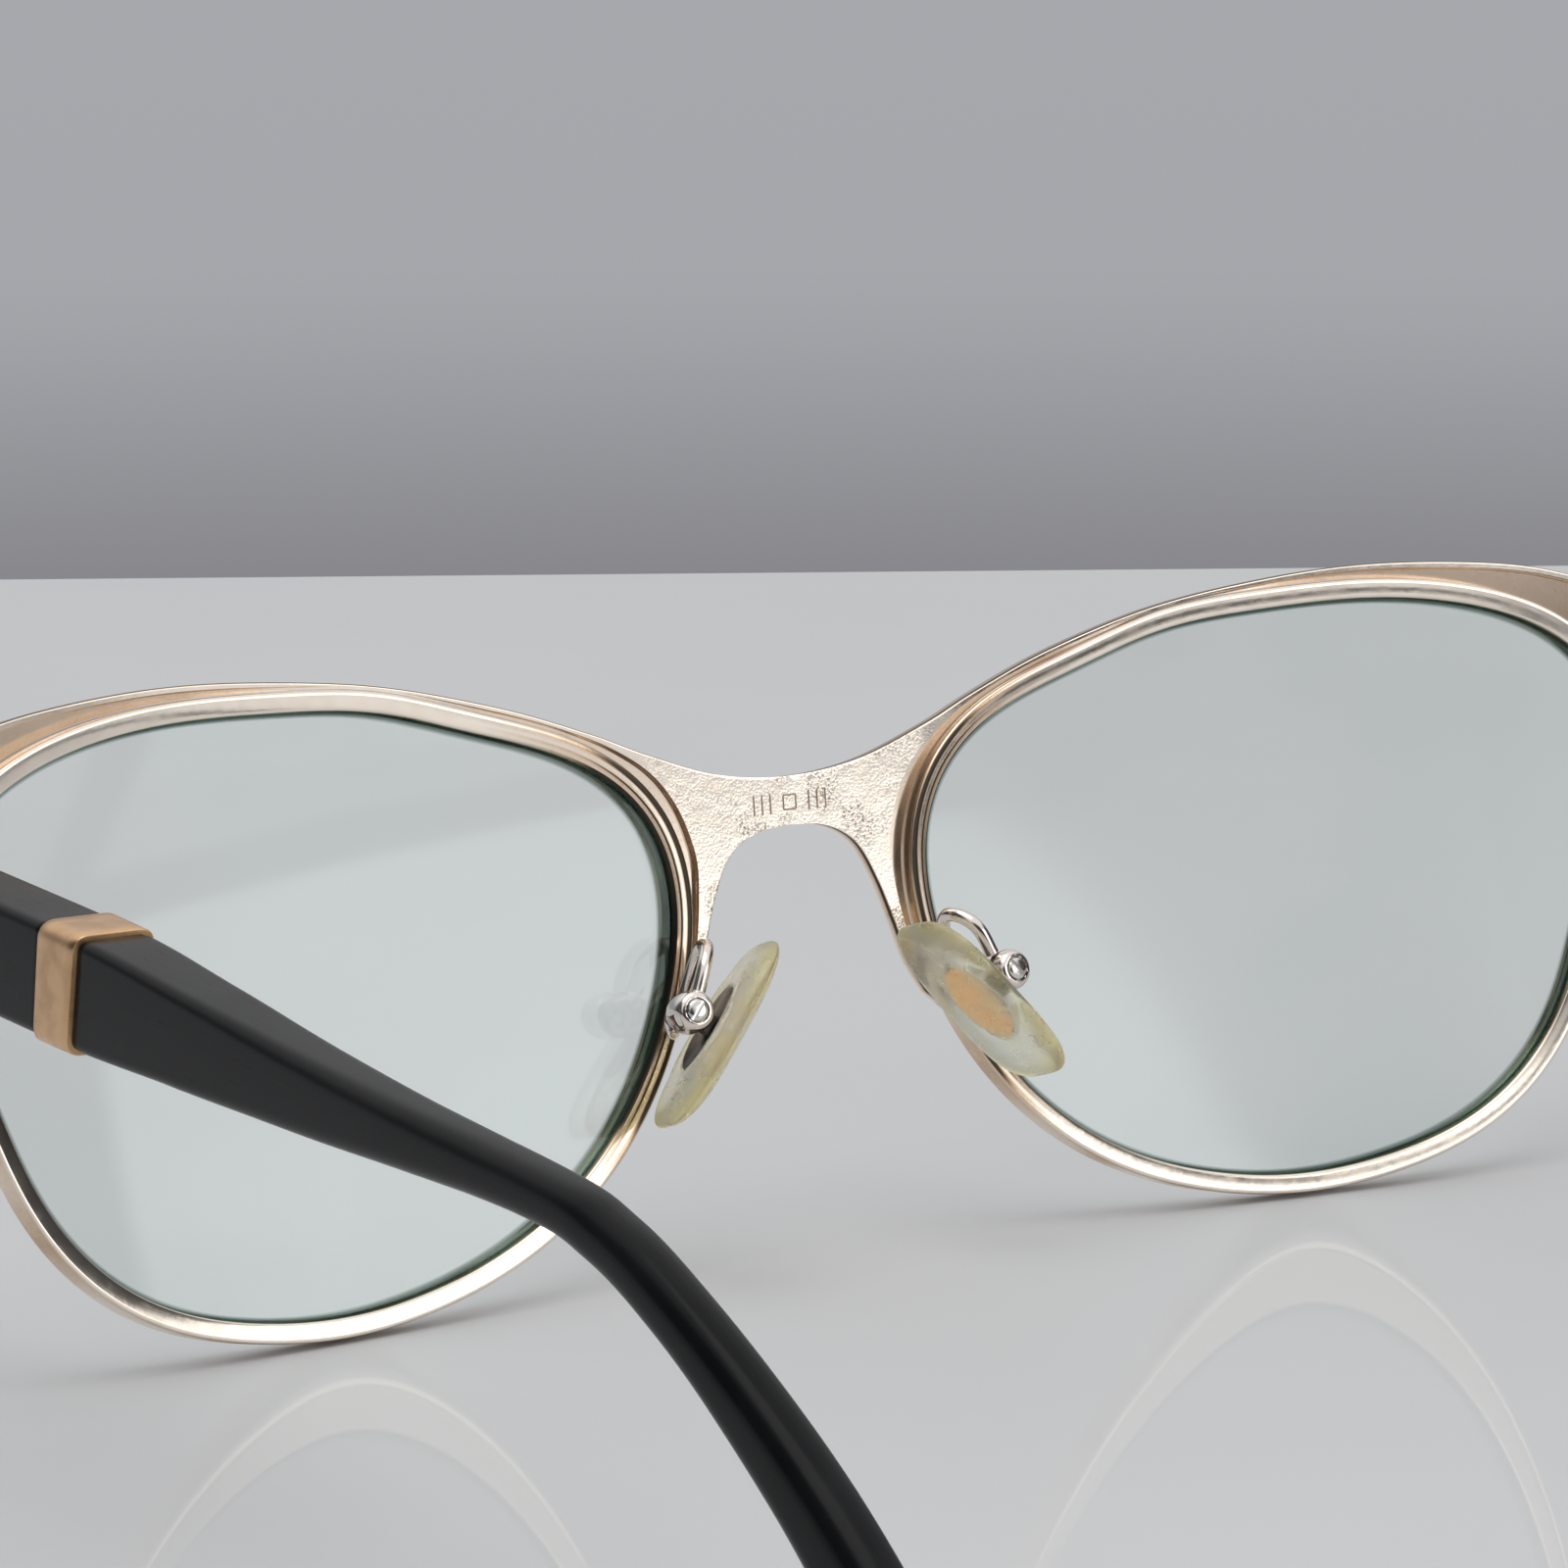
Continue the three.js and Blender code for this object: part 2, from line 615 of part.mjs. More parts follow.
const ARM_BACK = behindPlate(OUTER_X) + SOLDER_GAP + ARM_THICKNESS;
const BUTT_LINE = ARM_BACK + LEG_LENGTH; // where the temple head meets the endpiece
const HINGE_Y = BUTT_LINE;

/** The block that joins the plate's wing to the hinge: an arm behind the wing and a leg running back. */
function endpiece() {
  const along = [0.22, 0.43, 0.65, 0.86].map((share) => LENS_EDGE + share * ENDPIECE_REACH);
  const front = along.map((x) => [x, behindPlate(x) + SOLDER_GAP]);
  const corner = front[front.length - 1];
  const inner = OUTER_X - LEG_THICKNESS;
  const backOf = ([x, y]) => [x, y + ARM_THICKNESS];
  const plan = [
    ...front,
    [OUTER_X - 0.4, corner[1] + 0.35],
    [OUTER_X, corner[1] + 1.1],
    [OUTER_X, BUTT_LINE - BUTT_GAP],
    [inner, BUTT_LINE - BUTT_GAP],
    [inner, corner[1] + ARM_THICKNESS + 0.3],
    backOf(front[1]),
    backOf(front[0]),
  ];
  const low = TEMPLE_RISE - ENDPIECE_HEIGHT / 2;
  return prism(plan, ENDPIECE_HEIGHT).translate(0, 0, low);
}

const barrel = (low, high) => rod(BARREL_RADIUS, low, high).translate(HINGE_X, HINGE_Y, TEMPLE_RISE);
const hingeBore = () => rod(HINGE_SCREW_RADIUS + RUNNING_GAP, -9, 9).translate(HINGE_X, HINGE_Y, TEMPLE_RISE);

/** Two barrels on a leaf that is soldered to the endpiece's leg. */
function hingeFront() {
  const half = BARREL_HEIGHT / 2 + RUNNING_GAP;
  const outer = half + BARREL_HEIGHT;
  const leafEdge = OUTER_X - LEG_THICKNESS - SOLDER_GAP;
  const leafX = leafEdge - 0.9;
  const back = BUTT_LINE - BUTT_GAP;
  const leafStart = ARM_BACK + 0.4;
  const leaf = box(leafX, leafEdge, leafStart, back, TEMPLE_RISE - outer, TEMPLE_RISE + outer);
  const bar = box(HINGE_X, leafX + 0.1, HINGE_Y - BARREL_RADIUS, back, 0, BARREL_HEIGHT);
  const web = (low) => bar.clone().translate(0, 0, TEMPLE_RISE + low);
  const joined = join(leaf, web(half), web(-outer), barrel(half, outer), barrel(-outer, -half));
  return cut(joined, hingeBore());
}

/** The middle barrel on a plate that is sunk in the temple's inner face. */
function hingeTemple() {
  const half = BARREL_HEIGHT / 2;
  const plateBack = TEMPLE_INNER_X + HINGE_PLATE[0] - SOLDER_GAP;
  const [, start, end, height] = HINGE_PLATE;
  const webStart = start + SOLDER_GAP;
  const tall = height / 2 - SOLDER_GAP;
  const plate = box(TEMPLE_INNER_X, plateBack, webStart, end - SOLDER_GAP, -tall, tall);
  const web = box(HINGE_X, TEMPLE_INNER_X + 0.1, webStart, webStart + 2, -half, half);
  const flatParts = join(plate, web).translate(0, 0, TEMPLE_RISE);
  return cut(join(flatParts, barrel(-half, half)), hingeBore());
}

function hingeScrew() {
  const outer = 1.5 * BARREL_HEIGHT + RUNNING_GAP;
  const body = screw(HINGE_SCREW_RADIUS, 1.0, 0.5, -outer - SOLDER_GAP, outer);
  return body.rotateX(Math.PI).translate(HINGE_X, HINGE_Y, TEMPLE_RISE);
}

// ---- Temples ----

const HINGE_PLATE = [0.8, BUTT_LINE + 0.4, BUTT_LINE + 9, 3.4]; // depth, start, end, height
const BEND_START = BUTT_LINE + TEMPLE_SHANK;

/** Height of the surface that the glasses stand on, from the lens centre in the level frame. */
function standingHeight() {
  let lowest = 0;
  for (let i = 0; i < RIM_STEPS; i++) {
    const angle = Math.PI * (1 + i / RIM_STEPS);
    for (const back of [0, -WIRE_DEPTH]) {
      const { x, y } = eyeOutline(angle, WIRE_WIDTH);
      const p = eyePoint(x, y, back);
      lowest = Math.min(lowest, p.y * Math.sin(TILT) + p.z * Math.cos(TILT));
    }
  }
  return lowest;
}

const TABLE = standingHeight();

/** The temple's centre line from the butt line to the tip, in (y, z), with its end `drop` below the hinge. */
function templeLine(drop) {
  const at = (along, fall) => new THREE.Vector2(BEND_START + along, TEMPLE_RISE - fall * drop);
  return new THREE.SplineCurve([
    at(-TEMPLE_SHANK, 0),
    at(-0.66 * TEMPLE_SHANK, 0.012),
    at(-0.33 * TEMPLE_SHANK, 0.03),
    at(-3, 0.035),
    at(4.2, 0.07),
    at(10.3, 0.15),
    at(16.1, 0.255),
    at(22.8, 0.405),
    at(28.5, 0.575),
    at(33.3, 0.76),
    at(38.2, 1),
  ]);
}

/** The temple's section along its line: share of the way, height, thickness, corner radius, inward curve. */
const TEMPLE_SECTIONS = [
  [0, TEMPLE_HEIGHT, TEMPLE_THICKNESS, 0.5, 0],
  [0.21, TEMPLE_HEIGHT, TEMPLE_THICKNESS, 0.5, 0],
  [0.3, 5.5, 4.0, 0.6, 0],
  [0.4, 4.6, 3.5, 0.8, 0],
  [0.5, 3.8, 3.1, 1.0, 0],
  [0.6, 3.2, 2.9, 1.2, 0.1],
  [0.7, 3.2, 2.9, 1.2, 0.4],
  [0.8, 4.2, 3, 1.3, 0.8],
  [0.9, 5.2, TIP_THICKNESS, 1.3, 1.3],
  [0.97, TIP_HEIGHT, TIP_THICKNESS, 1.3, 1.7],
  [1, TIP_HEIGHT, TIP_THICKNESS, 1.3, 1.8],
];

let templeCurve = templeLine(TEMPLE_RISE - TABLE);

/** The section's values at a share of the temple's length. */
function templeSection(share) {
  const next = Math.max(1, TEMPLE_SECTIONS.findIndex(([s]) => s >= share));
  const before = TEMPLE_SECTIONS[next - 1];
  const after = TEMPLE_SECTIONS[next];
  const t = smooth((share - before[0]) / (after[0] - before[0]));
  return before.map((value, i) => value + t * (after[i] - value));
}

/** A rounded rectangle, width across and height up, around the origin. */
function roundedSection(width, height, radius, steps = 2) {
  const shape = [];
  const corners = [
    [1, 1, 0],
    [-1, 1, 1],
    [-1, -1, 2],
    [1, -1, 3],
  ];
  for (const [sx, sy, quarter] of corners) {
    for (let i = 0; i <= steps; i++) {
      const angle = ((quarter + i / steps) * Math.PI) / 2;
      const x = sx * (width / 2 - radius) + radius * Math.cos(angle);
      const y = sy * (height / 2 - radius) + radius * Math.sin(angle);
      shape.push(new THREE.Vector2(x, y));
    }
  }
  return shape;
}

/** A ring of points standing on the temple's line: a section given as [across, up] pairs. */
function templeRing(share, section) {
  const [, , thickness, , inward] = templeSection(share);
  const at = templeCurve.getPointAt(share);
  const along = templeCurve.getTangentAt(share);
  const middle = TEMPLE_OUTER_X - thickness / 2 - inward;
  return section.map(({ x, y }) => new THREE.Vector3(middle + x, at.x - along.y * y, at.y + along.x * y));
}

/** A stretch of the temple as a solid, grown outwards all round by `proud`. */
function templeStretch(from, to, steps, proud = 0) {
  const rings = [];
  for (let i = 0; i <= steps; i++) {
    const share = from + ((to - from) * i) / steps;
    const [, height, thickness, radius] = templeSection(share);
    rings.push(templeRing(share, roundedSection(thickness + 2 * proud, height + 2 * proud, radius)));
  }
  return loft(rings, roundedSection(1, 1, 0.2));
}

/** The tip's rounded end: sections that shrink over the last stretch. */
function templeEnd(share) {
  const rings = [];
  const [, height, thickness, radius] = templeSection(share);
  const along = templeCurve.getTangentAt(share);
  const reach = 0.42 * height;
  for (const turn of [0, 0.3, 0.6, 0.85, 1]) {
    const angle = (turn * Math.PI) / 2;
    const shrink = Math.max(0.12, Math.cos(angle));
    const ring = templeRing(share, roundedSection(thickness * shrink, height * shrink, radius * shrink));
    const step = new THREE.Vector3(0, along.x, along.y).multiplyScalar(reach * Math.sin(angle));
    rings.push(ring.map((p) => p.add(step)));
  }
  return rings;
}

/** Lets the tip down onto the surface that the rims stand on. */
function settleTip() {
  let drop = TEMPLE_RISE - TABLE;
  for (let pass = 0; pass < 12; pass++) {
    drop += Math.min(...templeEnd(1).map((ring) => Math.min(...ring.map((p) => p.z)))) - TABLE;
    templeCurve = templeLine(drop);
  }
}

settleTip();
const TEMPLE_LENGTH = templeCurve.getLength();
const shareAt = (distance) => distance / TEMPLE_LENGTH;
const BAND_FROM = shareAt(BAND_START);
const BAND_TO = shareAt(BAND_START + BAND_WIDTH);
const CORE_END = 0.82;

/** The core wire's space or the wire itself, through the temple. */
function coreStretch(from, to, steps, grow) {
  const rings = [];
  for (let i = 0; i <= steps; i++) {
    const share = from + ((to - from) * i) / steps;
    const section = roundedSection(CORE_THICKNESS + 2 * grow, CORE_HEIGHT + 2 * grow, 0.3, 1);
    rings.push(templeRing(share, section));
  }
  return loft(rings, roundedSection(1, 1, 0.2, 1));
}

/** The acetate block between the hinge and the band. */
function templeHead() {
  const block = templeStretch(0, BAND_FROM - shareAt(SOLDER_GAP), 2);
  const [depth, start, end, height] = HINGE_PLATE;
  const [low, high] = [TEMPLE_RISE - height / 2, TEMPLE_RISE + height / 2];
  const pocket = box(TEMPLE_INNER_X - 1, TEMPLE_INNER_X + depth, start, end, low, high);
  const channel = coreStretch(shareAt(1.2), BAND_FROM + 0.02, 2, CORE_GAP);
  return cut(block, pocket, channel);
}

function templeBand() {
  const ring = templeStretch(BAND_FROM, BAND_TO, 1, BAND_PROUD);
  return cut(ring, coreStretch(BAND_FROM - 0.02, BAND_TO + 0.02, 1, CORE_GAP));
}

/** The long acetate part with the ear bend and the tip. */
function templeArm() {
  const start = BAND_TO + shareAt(SOLDER_GAP);
  const rings = [];
  const steps = 20;
  for (let i = 0; i < steps; i++) {
    const share = start + ((1 - start) * i) / steps;
    const [, height, thickness, radius] = templeSection(share);
    rings.push(templeRing(share, roundedSection(thickness, height, radius)));
  }
  const body = loft([...rings, ...templeEnd(1)], roundedSection(1, 1, 0.2));
  return cut(body, coreStretch(BAND_TO - 0.02, CORE_END + shareAt(0.5), 16, CORE_GAP));
}

function templeCore() {
  return coreStretch(shareAt(1.6), CORE_END, 20, 0);
}

// ---- The assembly ----

/** A named mesh in a group. */
function addMesh(group, name, geometry, material) {
  const mesh = new THREE.Mesh(geometry, material);
  mesh.name = name;
  group.add(mesh);
}

/** Everything on one side that leans with the front. */
function frontSide(side) {
  const group = new THREE.Group();
  addMesh(group, `eyewire_${side}`, eyewire(), GOLD);
  addMesh(group, `lens_${side}`, lens(), LENS_MATERIAL);
  addMesh(group, `rim_lock_upper_${side}`, rimLock(1), GOLD);
  addMesh(group, `rim_lock_lower_${side}`, rimLock(-1), GOLD);
  addMesh(group, `rim_screw_${side}`, rimScrew(), STEEL);
  addMesh(group, `pad_arm_${side}`, padArm(), STEEL);
  const atScrew = (geometry) => geometry.applyMatrix4(padBasis());
  addMesh(group, `pad_box_${side}`, atScrew(padBox()), STEEL);
  addMesh(group, `pad_screw_${side}`, atScrew(padScrew()), STEEL);
  addMesh(group, `pad_mount_${side}`, atScrew(padMount()), STEEL);
  addMesh(group, `nose_pad_${side}`, atScrew(nosePad()), PAD_PLASTIC);
  return group;
}

/** Everything on one side that is level: the endpiece, hinge and temple. */
function levelSide(side) {
  const group = new THREE.Group();
  addMesh(group, `endpiece_${side}`, endpiece(), GOLD);
  addMesh(group, `hinge_front_${side}`, hingeFront(), STEEL);
  addMesh(group, `hinge_screw_${side}`, hingeScrew(), STEEL);
  addMesh(group, `hinge_temple_${side}`, hingeTemple(), STEEL);
  addMesh(group, `temple_head_${side}`, templeHead(), ACETATE);
  addMesh(group, `temple_band_${side}`, templeBand(), GOLD);
  addMesh(group, `temple_arm_${side}`, templeArm(), ACETATE);
  addMesh(group, `temple_core_${side}`, templeCore(), STEEL);
  return group;
}

/** The whole pair of glasses, standing on z = 0 with its box's bottom centre at the origin. */
function glasses() {
  const front = new THREE.Group();
  const level = new THREE.Group();
  addMesh(front, "front_plate", frontPlate(), GOLD);
  for (const side of ["left", "right"]) {
    const parts = [frontSide(side), levelSide(side)];
    if (side === "right") parts.forEach((group) => group.scale.setX(-1));
    front.add(parts[0]);
    level.add(parts[1]);
  }
  front.rotation.x = TILT;
  const whole = new THREE.Group().add(front, level);
  whole.updateMatrixWorld(true);
  const bounds = new THREE.Box3().setFromObject(whole, true);
  const centre = bounds.getCenter(new THREE.Vector3());
  whole.position.set(-centre.x, -centre.y, -bounds.min.z);
  return new THREE.Group().add(whole);
}

export default glasses();
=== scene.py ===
"""Full-rim metal eyeglasses with a stamped brow-and-bridge plate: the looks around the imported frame.

Lengths inside the classes are millimetres round the middle of the bridge; meshes are made in metres in the
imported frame. +X is the wearer's left, +Y runs back along the temples and +Z is up.
"""

import logging
import math
from dataclasses import dataclass
from enum import Enum
from typing import Any, Callable, Sequence

import bmesh
import bpy
import numpy as np
from mathutils import Matrix, Vector

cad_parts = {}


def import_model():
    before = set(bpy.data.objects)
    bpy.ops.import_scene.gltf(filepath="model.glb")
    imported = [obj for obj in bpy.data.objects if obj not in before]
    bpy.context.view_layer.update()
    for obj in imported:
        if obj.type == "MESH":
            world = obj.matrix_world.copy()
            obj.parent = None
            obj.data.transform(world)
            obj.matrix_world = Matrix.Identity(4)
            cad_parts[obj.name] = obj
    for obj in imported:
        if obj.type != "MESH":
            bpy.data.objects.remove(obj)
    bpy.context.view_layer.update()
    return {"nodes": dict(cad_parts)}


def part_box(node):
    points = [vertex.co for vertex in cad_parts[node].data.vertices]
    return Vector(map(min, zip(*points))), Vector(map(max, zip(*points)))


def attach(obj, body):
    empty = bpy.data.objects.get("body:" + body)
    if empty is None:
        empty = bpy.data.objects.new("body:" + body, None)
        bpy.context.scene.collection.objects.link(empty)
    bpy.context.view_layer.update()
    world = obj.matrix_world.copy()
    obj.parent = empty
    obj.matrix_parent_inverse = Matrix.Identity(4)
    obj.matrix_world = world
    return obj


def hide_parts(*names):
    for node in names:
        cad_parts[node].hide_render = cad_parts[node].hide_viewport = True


log = logging.getLogger("glasses")

MM = 0.001
Colour = tuple[float, float, float]
Array = np.ndarray
Move = Callable[[Array], Array]
HEAD_UP = np.array([1, -1, -1])


class Side(Enum):
    """The wearer's left and right, with the sign of X."""

    LEFT = 1
    RIGHT = -1

    @property
    def word(self) -> str:
        """The side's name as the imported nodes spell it."""
        return self.name.lower()


class Carve(Enum):
    """How one solid works on another."""

    CUT = "DIFFERENCE"
    JOIN = "UNION"


# ---------------------------------------------------------------------------------------------------------
# Shader maths


class Value:
    """A shader socket that takes part in Python arithmetic."""

    def __init__(self, net: "Net", socket: bpy.types.NodeSocket) -> None:
        """Wraps a socket.

        Args:
            net: The net that the socket belongs to.
            socket: An output socket.
        """
        self.net = net
        self.socket = socket

    def maths(self, operation: str, *others: "Value | float") -> "Value":
        """One Math node on this value.

        Args:
            operation: The node's operation.
            others: What goes in the other inputs.

        Returns:
            The result.
        """
        inputs = {i: item for i, item in enumerate((self, *others))}
        return self.net.node("ShaderNodeMath", {"operation": operation}, inputs)

    def __add__(self, other: "Value | float") -> "Value":
        """Sum."""
        return self.maths("ADD", other)

    def __radd__(self, other: float) -> "Value":
        """Sum with a number in front."""
        return self.maths("ADD", other)

    def __sub__(self, other: "Value | float") -> "Value":
        """Difference."""
        return self.maths("SUBTRACT", other)

    def __rsub__(self, other: float) -> "Value":
        """A number less this value."""
        return self.maths("MULTIPLY", -1.0).maths("ADD", other)

    def __mul__(self, other: "Value | float") -> "Value":
        """Product."""
        return self.maths("MULTIPLY", other)

    def __rmul__(self, other: float) -> "Value":
        """Product with a number in front."""
        return self.maths("MULTIPLY", other)

    def clamped(self) -> "Value":
        """The value held between 0 and 1."""
        return self.maths("MAXIMUM", 0.0).maths("MINIMUM", 1.0)

    def step(self, low: float, high: float) -> "Value":
        """A smooth step from 0 at low to 1 at high.

        Args:
            low: Where the step starts.
            high: Where the step ends.

        Returns:
            The stepped value.
        """
        ranged = {"Value": self, "From Min": low, "From Max": high}
        return self.net.node("ShaderNodeMapRange", {"interpolation_type": "SMOOTHSTEP"}, ranged)


class Net:
    """A node tree that is filled by expressions."""

    def __init__(self, tree: bpy.types.NodeTree) -> None:
        """Empties a tree for use.

        Args:
            tree: The material's or world's node tree.
        """
        self.tree = tree
        tree.nodes.clear()

    def node(
        self,
        kind: str,
        settings: dict[str, Any] | None = None,
        inputs: dict[Any, Any] | None = None,
        output: int | str = 0,
    ) -> Value:
        """Adds a node.

        Args:
            kind: The node's type.
            settings: Properties of the node, set first; "stops" fills a ramp.
            inputs: Values or links by socket name or number.
            output: The socket that is returned.

        Returns:
            The chosen output; a node that ends the tree gives a value without a socket.
        """
        made = self.tree.nodes.new(kind)
        for key, value in (settings or {}).items():
            if key == "stops":
                self._fill_ramp(made.color_ramp, value)
            else:
                setattr(made, key, value)
        for key, value in (inputs or {}).items():
            socket = made.inputs[key]
            if isinstance(value, Value):
                self.tree.links.new(value.socket, socket)
            elif isinstance(value, tuple) and socket.type == "RGBA" and len(value) == 3:
                socket.default_value = (*value, 1.0)
            else:
                socket.default_value = value
        return Value(self, made.outputs[output]) if len(made.outputs) else Value(self, None)

    @staticmethod
    def _fill_ramp(ramp: bpy.types.ColorRamp, stops: Sequence[tuple[float, Colour]]) -> None:
        """Sets a ramp's stops.

        Args:
            ramp: The ramp.
            stops: Places and colours from low to high.
        """
        while len(ramp.elements) < len(stops):
            ramp.elements.new(0.5)
        for element, (place, colour) in zip(ramp.elements, stops):
            element.position = place
            element.color = (*colour, 1.0)

    def mixed(self, factor: Value, first: Value | Colour, second: Value | Colour) -> Value:
        """A colour between two colours.

        Args:
            factor: 0 for the first, 1 for the second.
            first: A colour.
            second: A colour.

        Returns:
            The mixed colour.
        """
        settings = {"data_type": "RGBA"}
        return self.node("ShaderNodeMix", settings, {0: factor, 6: first, 7: second}, output=2)

    def place(self) -> Value:
        """The point on the piece, in metres in the piece's own frame."""
        return self.node("ShaderNodeTexCoord", output="Object")

    def mask(self, name: str) -> Value:
        """A number stored at the mesh's points under a name."""
        return self.node("ShaderNodeAttribute", {"attribute_name": name}, output="Fac")

    def noise(self, size: float, detail: float = 2.0, stretch: Colour = (1.0, 1.0, 1.0)) -> Value:
        """Soft noise.

        Args:
            size: The size of its features in millimetres.
            detail: How many octaves it has.
            stretch: How the place is scaled first, along each axis.

        Returns:
            A value around one half.
        """
        settings = {"operation": "MULTIPLY"}
        place = self.node("ShaderNodeVectorMath", settings, {0: self.place(), 1: stretch})
        inputs = {"Vector": place, "Scale": 1.0 / (size * MM), "Detail": detail}
        return self.node("ShaderNodeTexNoise", {}, inputs)

    def bump(self, height: Value, depth: float, strength: float = 1.0) -> Value:
        """A normal that follows a height.

        Args:
            height: The height, 0 to 1.
            depth: The height of 1, in millimetres.
            strength: How strongly it shows.

        Returns:
            The normal.
        """
        inputs = {"Strength": strength, "Distance": depth * MM, "Height": height}
        return self.node("ShaderNodeBump", {}, inputs)

    def finish_with(self, **inputs: Any) -> None:
        """Ends a material with its main shader.

        Args:
            inputs: Socket names, with _ for a space, and their values or links.
        """
        sockets = {key.replace("_", " "): value for key, value in inputs.items()}
        shader = self.node("ShaderNodeBsdfPrincipled", {}, sockets)
        self.node("ShaderNodeOutputMaterial", {}, {"Surface": shader})


# ---------------------------------------------------------------------------------------------------------
# Finishes


class Finish:
    """A finish that makes its material once."""

    name: str
    made: dict["Finish", bpy.types.Material] = {}

    def material(self) -> bpy.types.Material:
        """The material, made when it is first asked for.

        Returns:
            The material.
        """
        if self not in Finish.made:
            material = bpy.data.materials.new(self.name)
            material.use_nodes = True
            self.fill(Net(material.node_tree))
            Finish.made[self] = material
        return Finish.made[self]

    def fill(self, net: Net) -> None:
        """Builds the shader; each kind of finish has its own."""
        raise NotImplementedError


@dataclass(frozen=True)
class Plating(Finish):
    """Polished metal plating, softly uneven, with tarnish and painted shade where a mask sets them, near-black
    painted shade lines where that mask runs high, and a sanded grain where it is masked.
    """

    name: str
    bright: Colour
    tarnish: Colour
    shine: float = 0.10
    grain: float = 0.010
    tarnish_share: float = 0.08
    # near-black, for the sanded pits and for painted shade lines
    deep: Colour = (0.055, 0.045, 0.035)

    def fill(self, net: Net) -> None:
        """Builds the shader from the masks "grime" and "sand"; the first mixes in tarnish and painted shade,
        and near-black painted shade above 0.8.

        Args:
            net: An empty net.
        """
        grime = net.mask("grime")
        sand = net.mask("sand")
        cloud = net.noise(1.6, 4.0).step(0.35, 0.75)
        speck = net.noise(0.16, 3.0).step(0.56, 0.72)
        # the first mask mixes in real tarnish and painted shade in hollows and gaps
        worn = (cloud * self.tarnish_share + grime * (0.75 + 0.35 * speck)).clamped()
        colour = net.mixed(worn, self.bright, self.tarnish)
        patches = net.noise(2.6, 2.0).step(0.42, 0.62)
        grit = net.noise(0.17, 2.0)
        pits = grit.step(0.52, 0.66) * patches * sand * 0.75
        # painted shade: near-black where the first mask passes 0.8, and in the sanded pits
        deep = pits.maths("MAXIMUM", grime.step(0.8, 1.1))
        colour = net.mixed(deep, colour, self.deep)
        height = grit * (0.3 + 0.7 * patches) * sand * 5.0 + net.noise(0.7, 3.0) * 0.3
        rough = (self.shine + 0.05 * cloud + 0.16 * grime + 0.04 * sand).clamped()
        normal = net.bump(height, self.grain)
        net.finish_with(Base_Color=colour, Metallic=1.0, Roughness=rough, Normal=normal)


@dataclass(frozen=True)
class Acetate(Finish):
    """Polished black acetate with faint depth, hairline scratches and handling haze."""

    name: str
    colour: Colour = (0.006, 0.0065, 0.0075)
    haze: Colour = (0.010, 0.0105, 0.012)

    def fill(self, net: Net) -> None:
        """Builds the shader.

        Args:
            net: An empty net.
        """
        cloud = net.noise(9.0, 4.0).step(0.3, 0.7)
        scratches = net.noise(0.22, 4.0, (1.0, 0.05, 1.0)).step(0.6, 0.75)
        pores = net.noise(0.35, 2.0)
        colour = net.mixed(cloud, self.colour, self.haze)
        rough = 0.2 + 0.08 * cloud + 0.12 * scratches
        normal = net.bump(pores * 0.5 + scratches * 0.5, 0.0035)
        net.finish_with(
            Base_Color=colour,
            Roughness=rough,
            Normal=normal,
            IOR=1.42,
            Specular_IOR_Level=0.13,
        )


@dataclass(frozen=True)
class SoftPlastic(Finish):
    """Translucent plastic that has yellowed unevenly."""

    name: str
    fresh: Colour = (0.995, 0.98, 0.87)
    aged: Colour = (1.0, 0.90, 0.50)

    def fill(self, net: Net) -> None:
        """Builds the shader from the mask "age".

        Args:
            net: An empty net.
        """
        cloud = net.noise(2.4, 3.0).step(0.3, 0.75)
        aged = (net.mask("age") * 0.85 + 0.22 * cloud).clamped()
        colour = net.mixed(aged, self.fresh, self.aged)
        rough = 0.22 + 0.10 * cloud
        normal = net.bump(net.noise(0.9, 2.0), 0.004)
        net.finish_with(
            Base_Color=colour,
            Roughness=rough,
            Normal=normal,
            IOR=1.38,
            Transmission_Weight=0.84,
            Subsurface_Weight=0.2,
            Subsurface_Radius=(0.9, 0.7, 0.35),
            Subsurface_Scale=1.2 * MM,
        )


@dataclass(frozen=True)
class ClearLens(Finish):
    """Clear lens plastic with a slight green tint, and a painted dark reflection along its edge."""

    name: str
    clear: Colour = (0.986, 1.0, 0.996)
    tinted: Colour = (0.974, 0.996, 0.990)
    # dark green-grey for the painted reflection along the lens edge
    border: Colour = (0.30, 0.37, 0.34)

    def fill(self, net: Net) -> None:
        """Builds the shader from the mask "edge", which paints the dark reflection at the lens edge.

        Args:
            net: An empty net.
        """
        cloud = net.noise(18.0, 2.0).step(0.35, 0.65)
        colour = net.mixed(cloud, self.clear, self.tinted)
        # painted dark reflection along the lens edge
        colour = net.mixed(net.mask("edge"), colour, self.border)
        clear = net.node("ShaderNodeBsdfTransparent", {}, {"Color": colour})
        sheen = {"Base Color": (0.86, 1.0, 0.95), "Metallic": 1.0, "Roughness": 0.05}
        gloss = net.node("ShaderNodeBsdfPrincipled", {}, sheen)
        share = 0.035 + 0.010 * cloud
        surface = net.node("ShaderNodeMixShader", {}, {0: share, 1: clear, 2: gloss})
        net.node("ShaderNodeOutputMaterial", {}, {"Surface": surface})


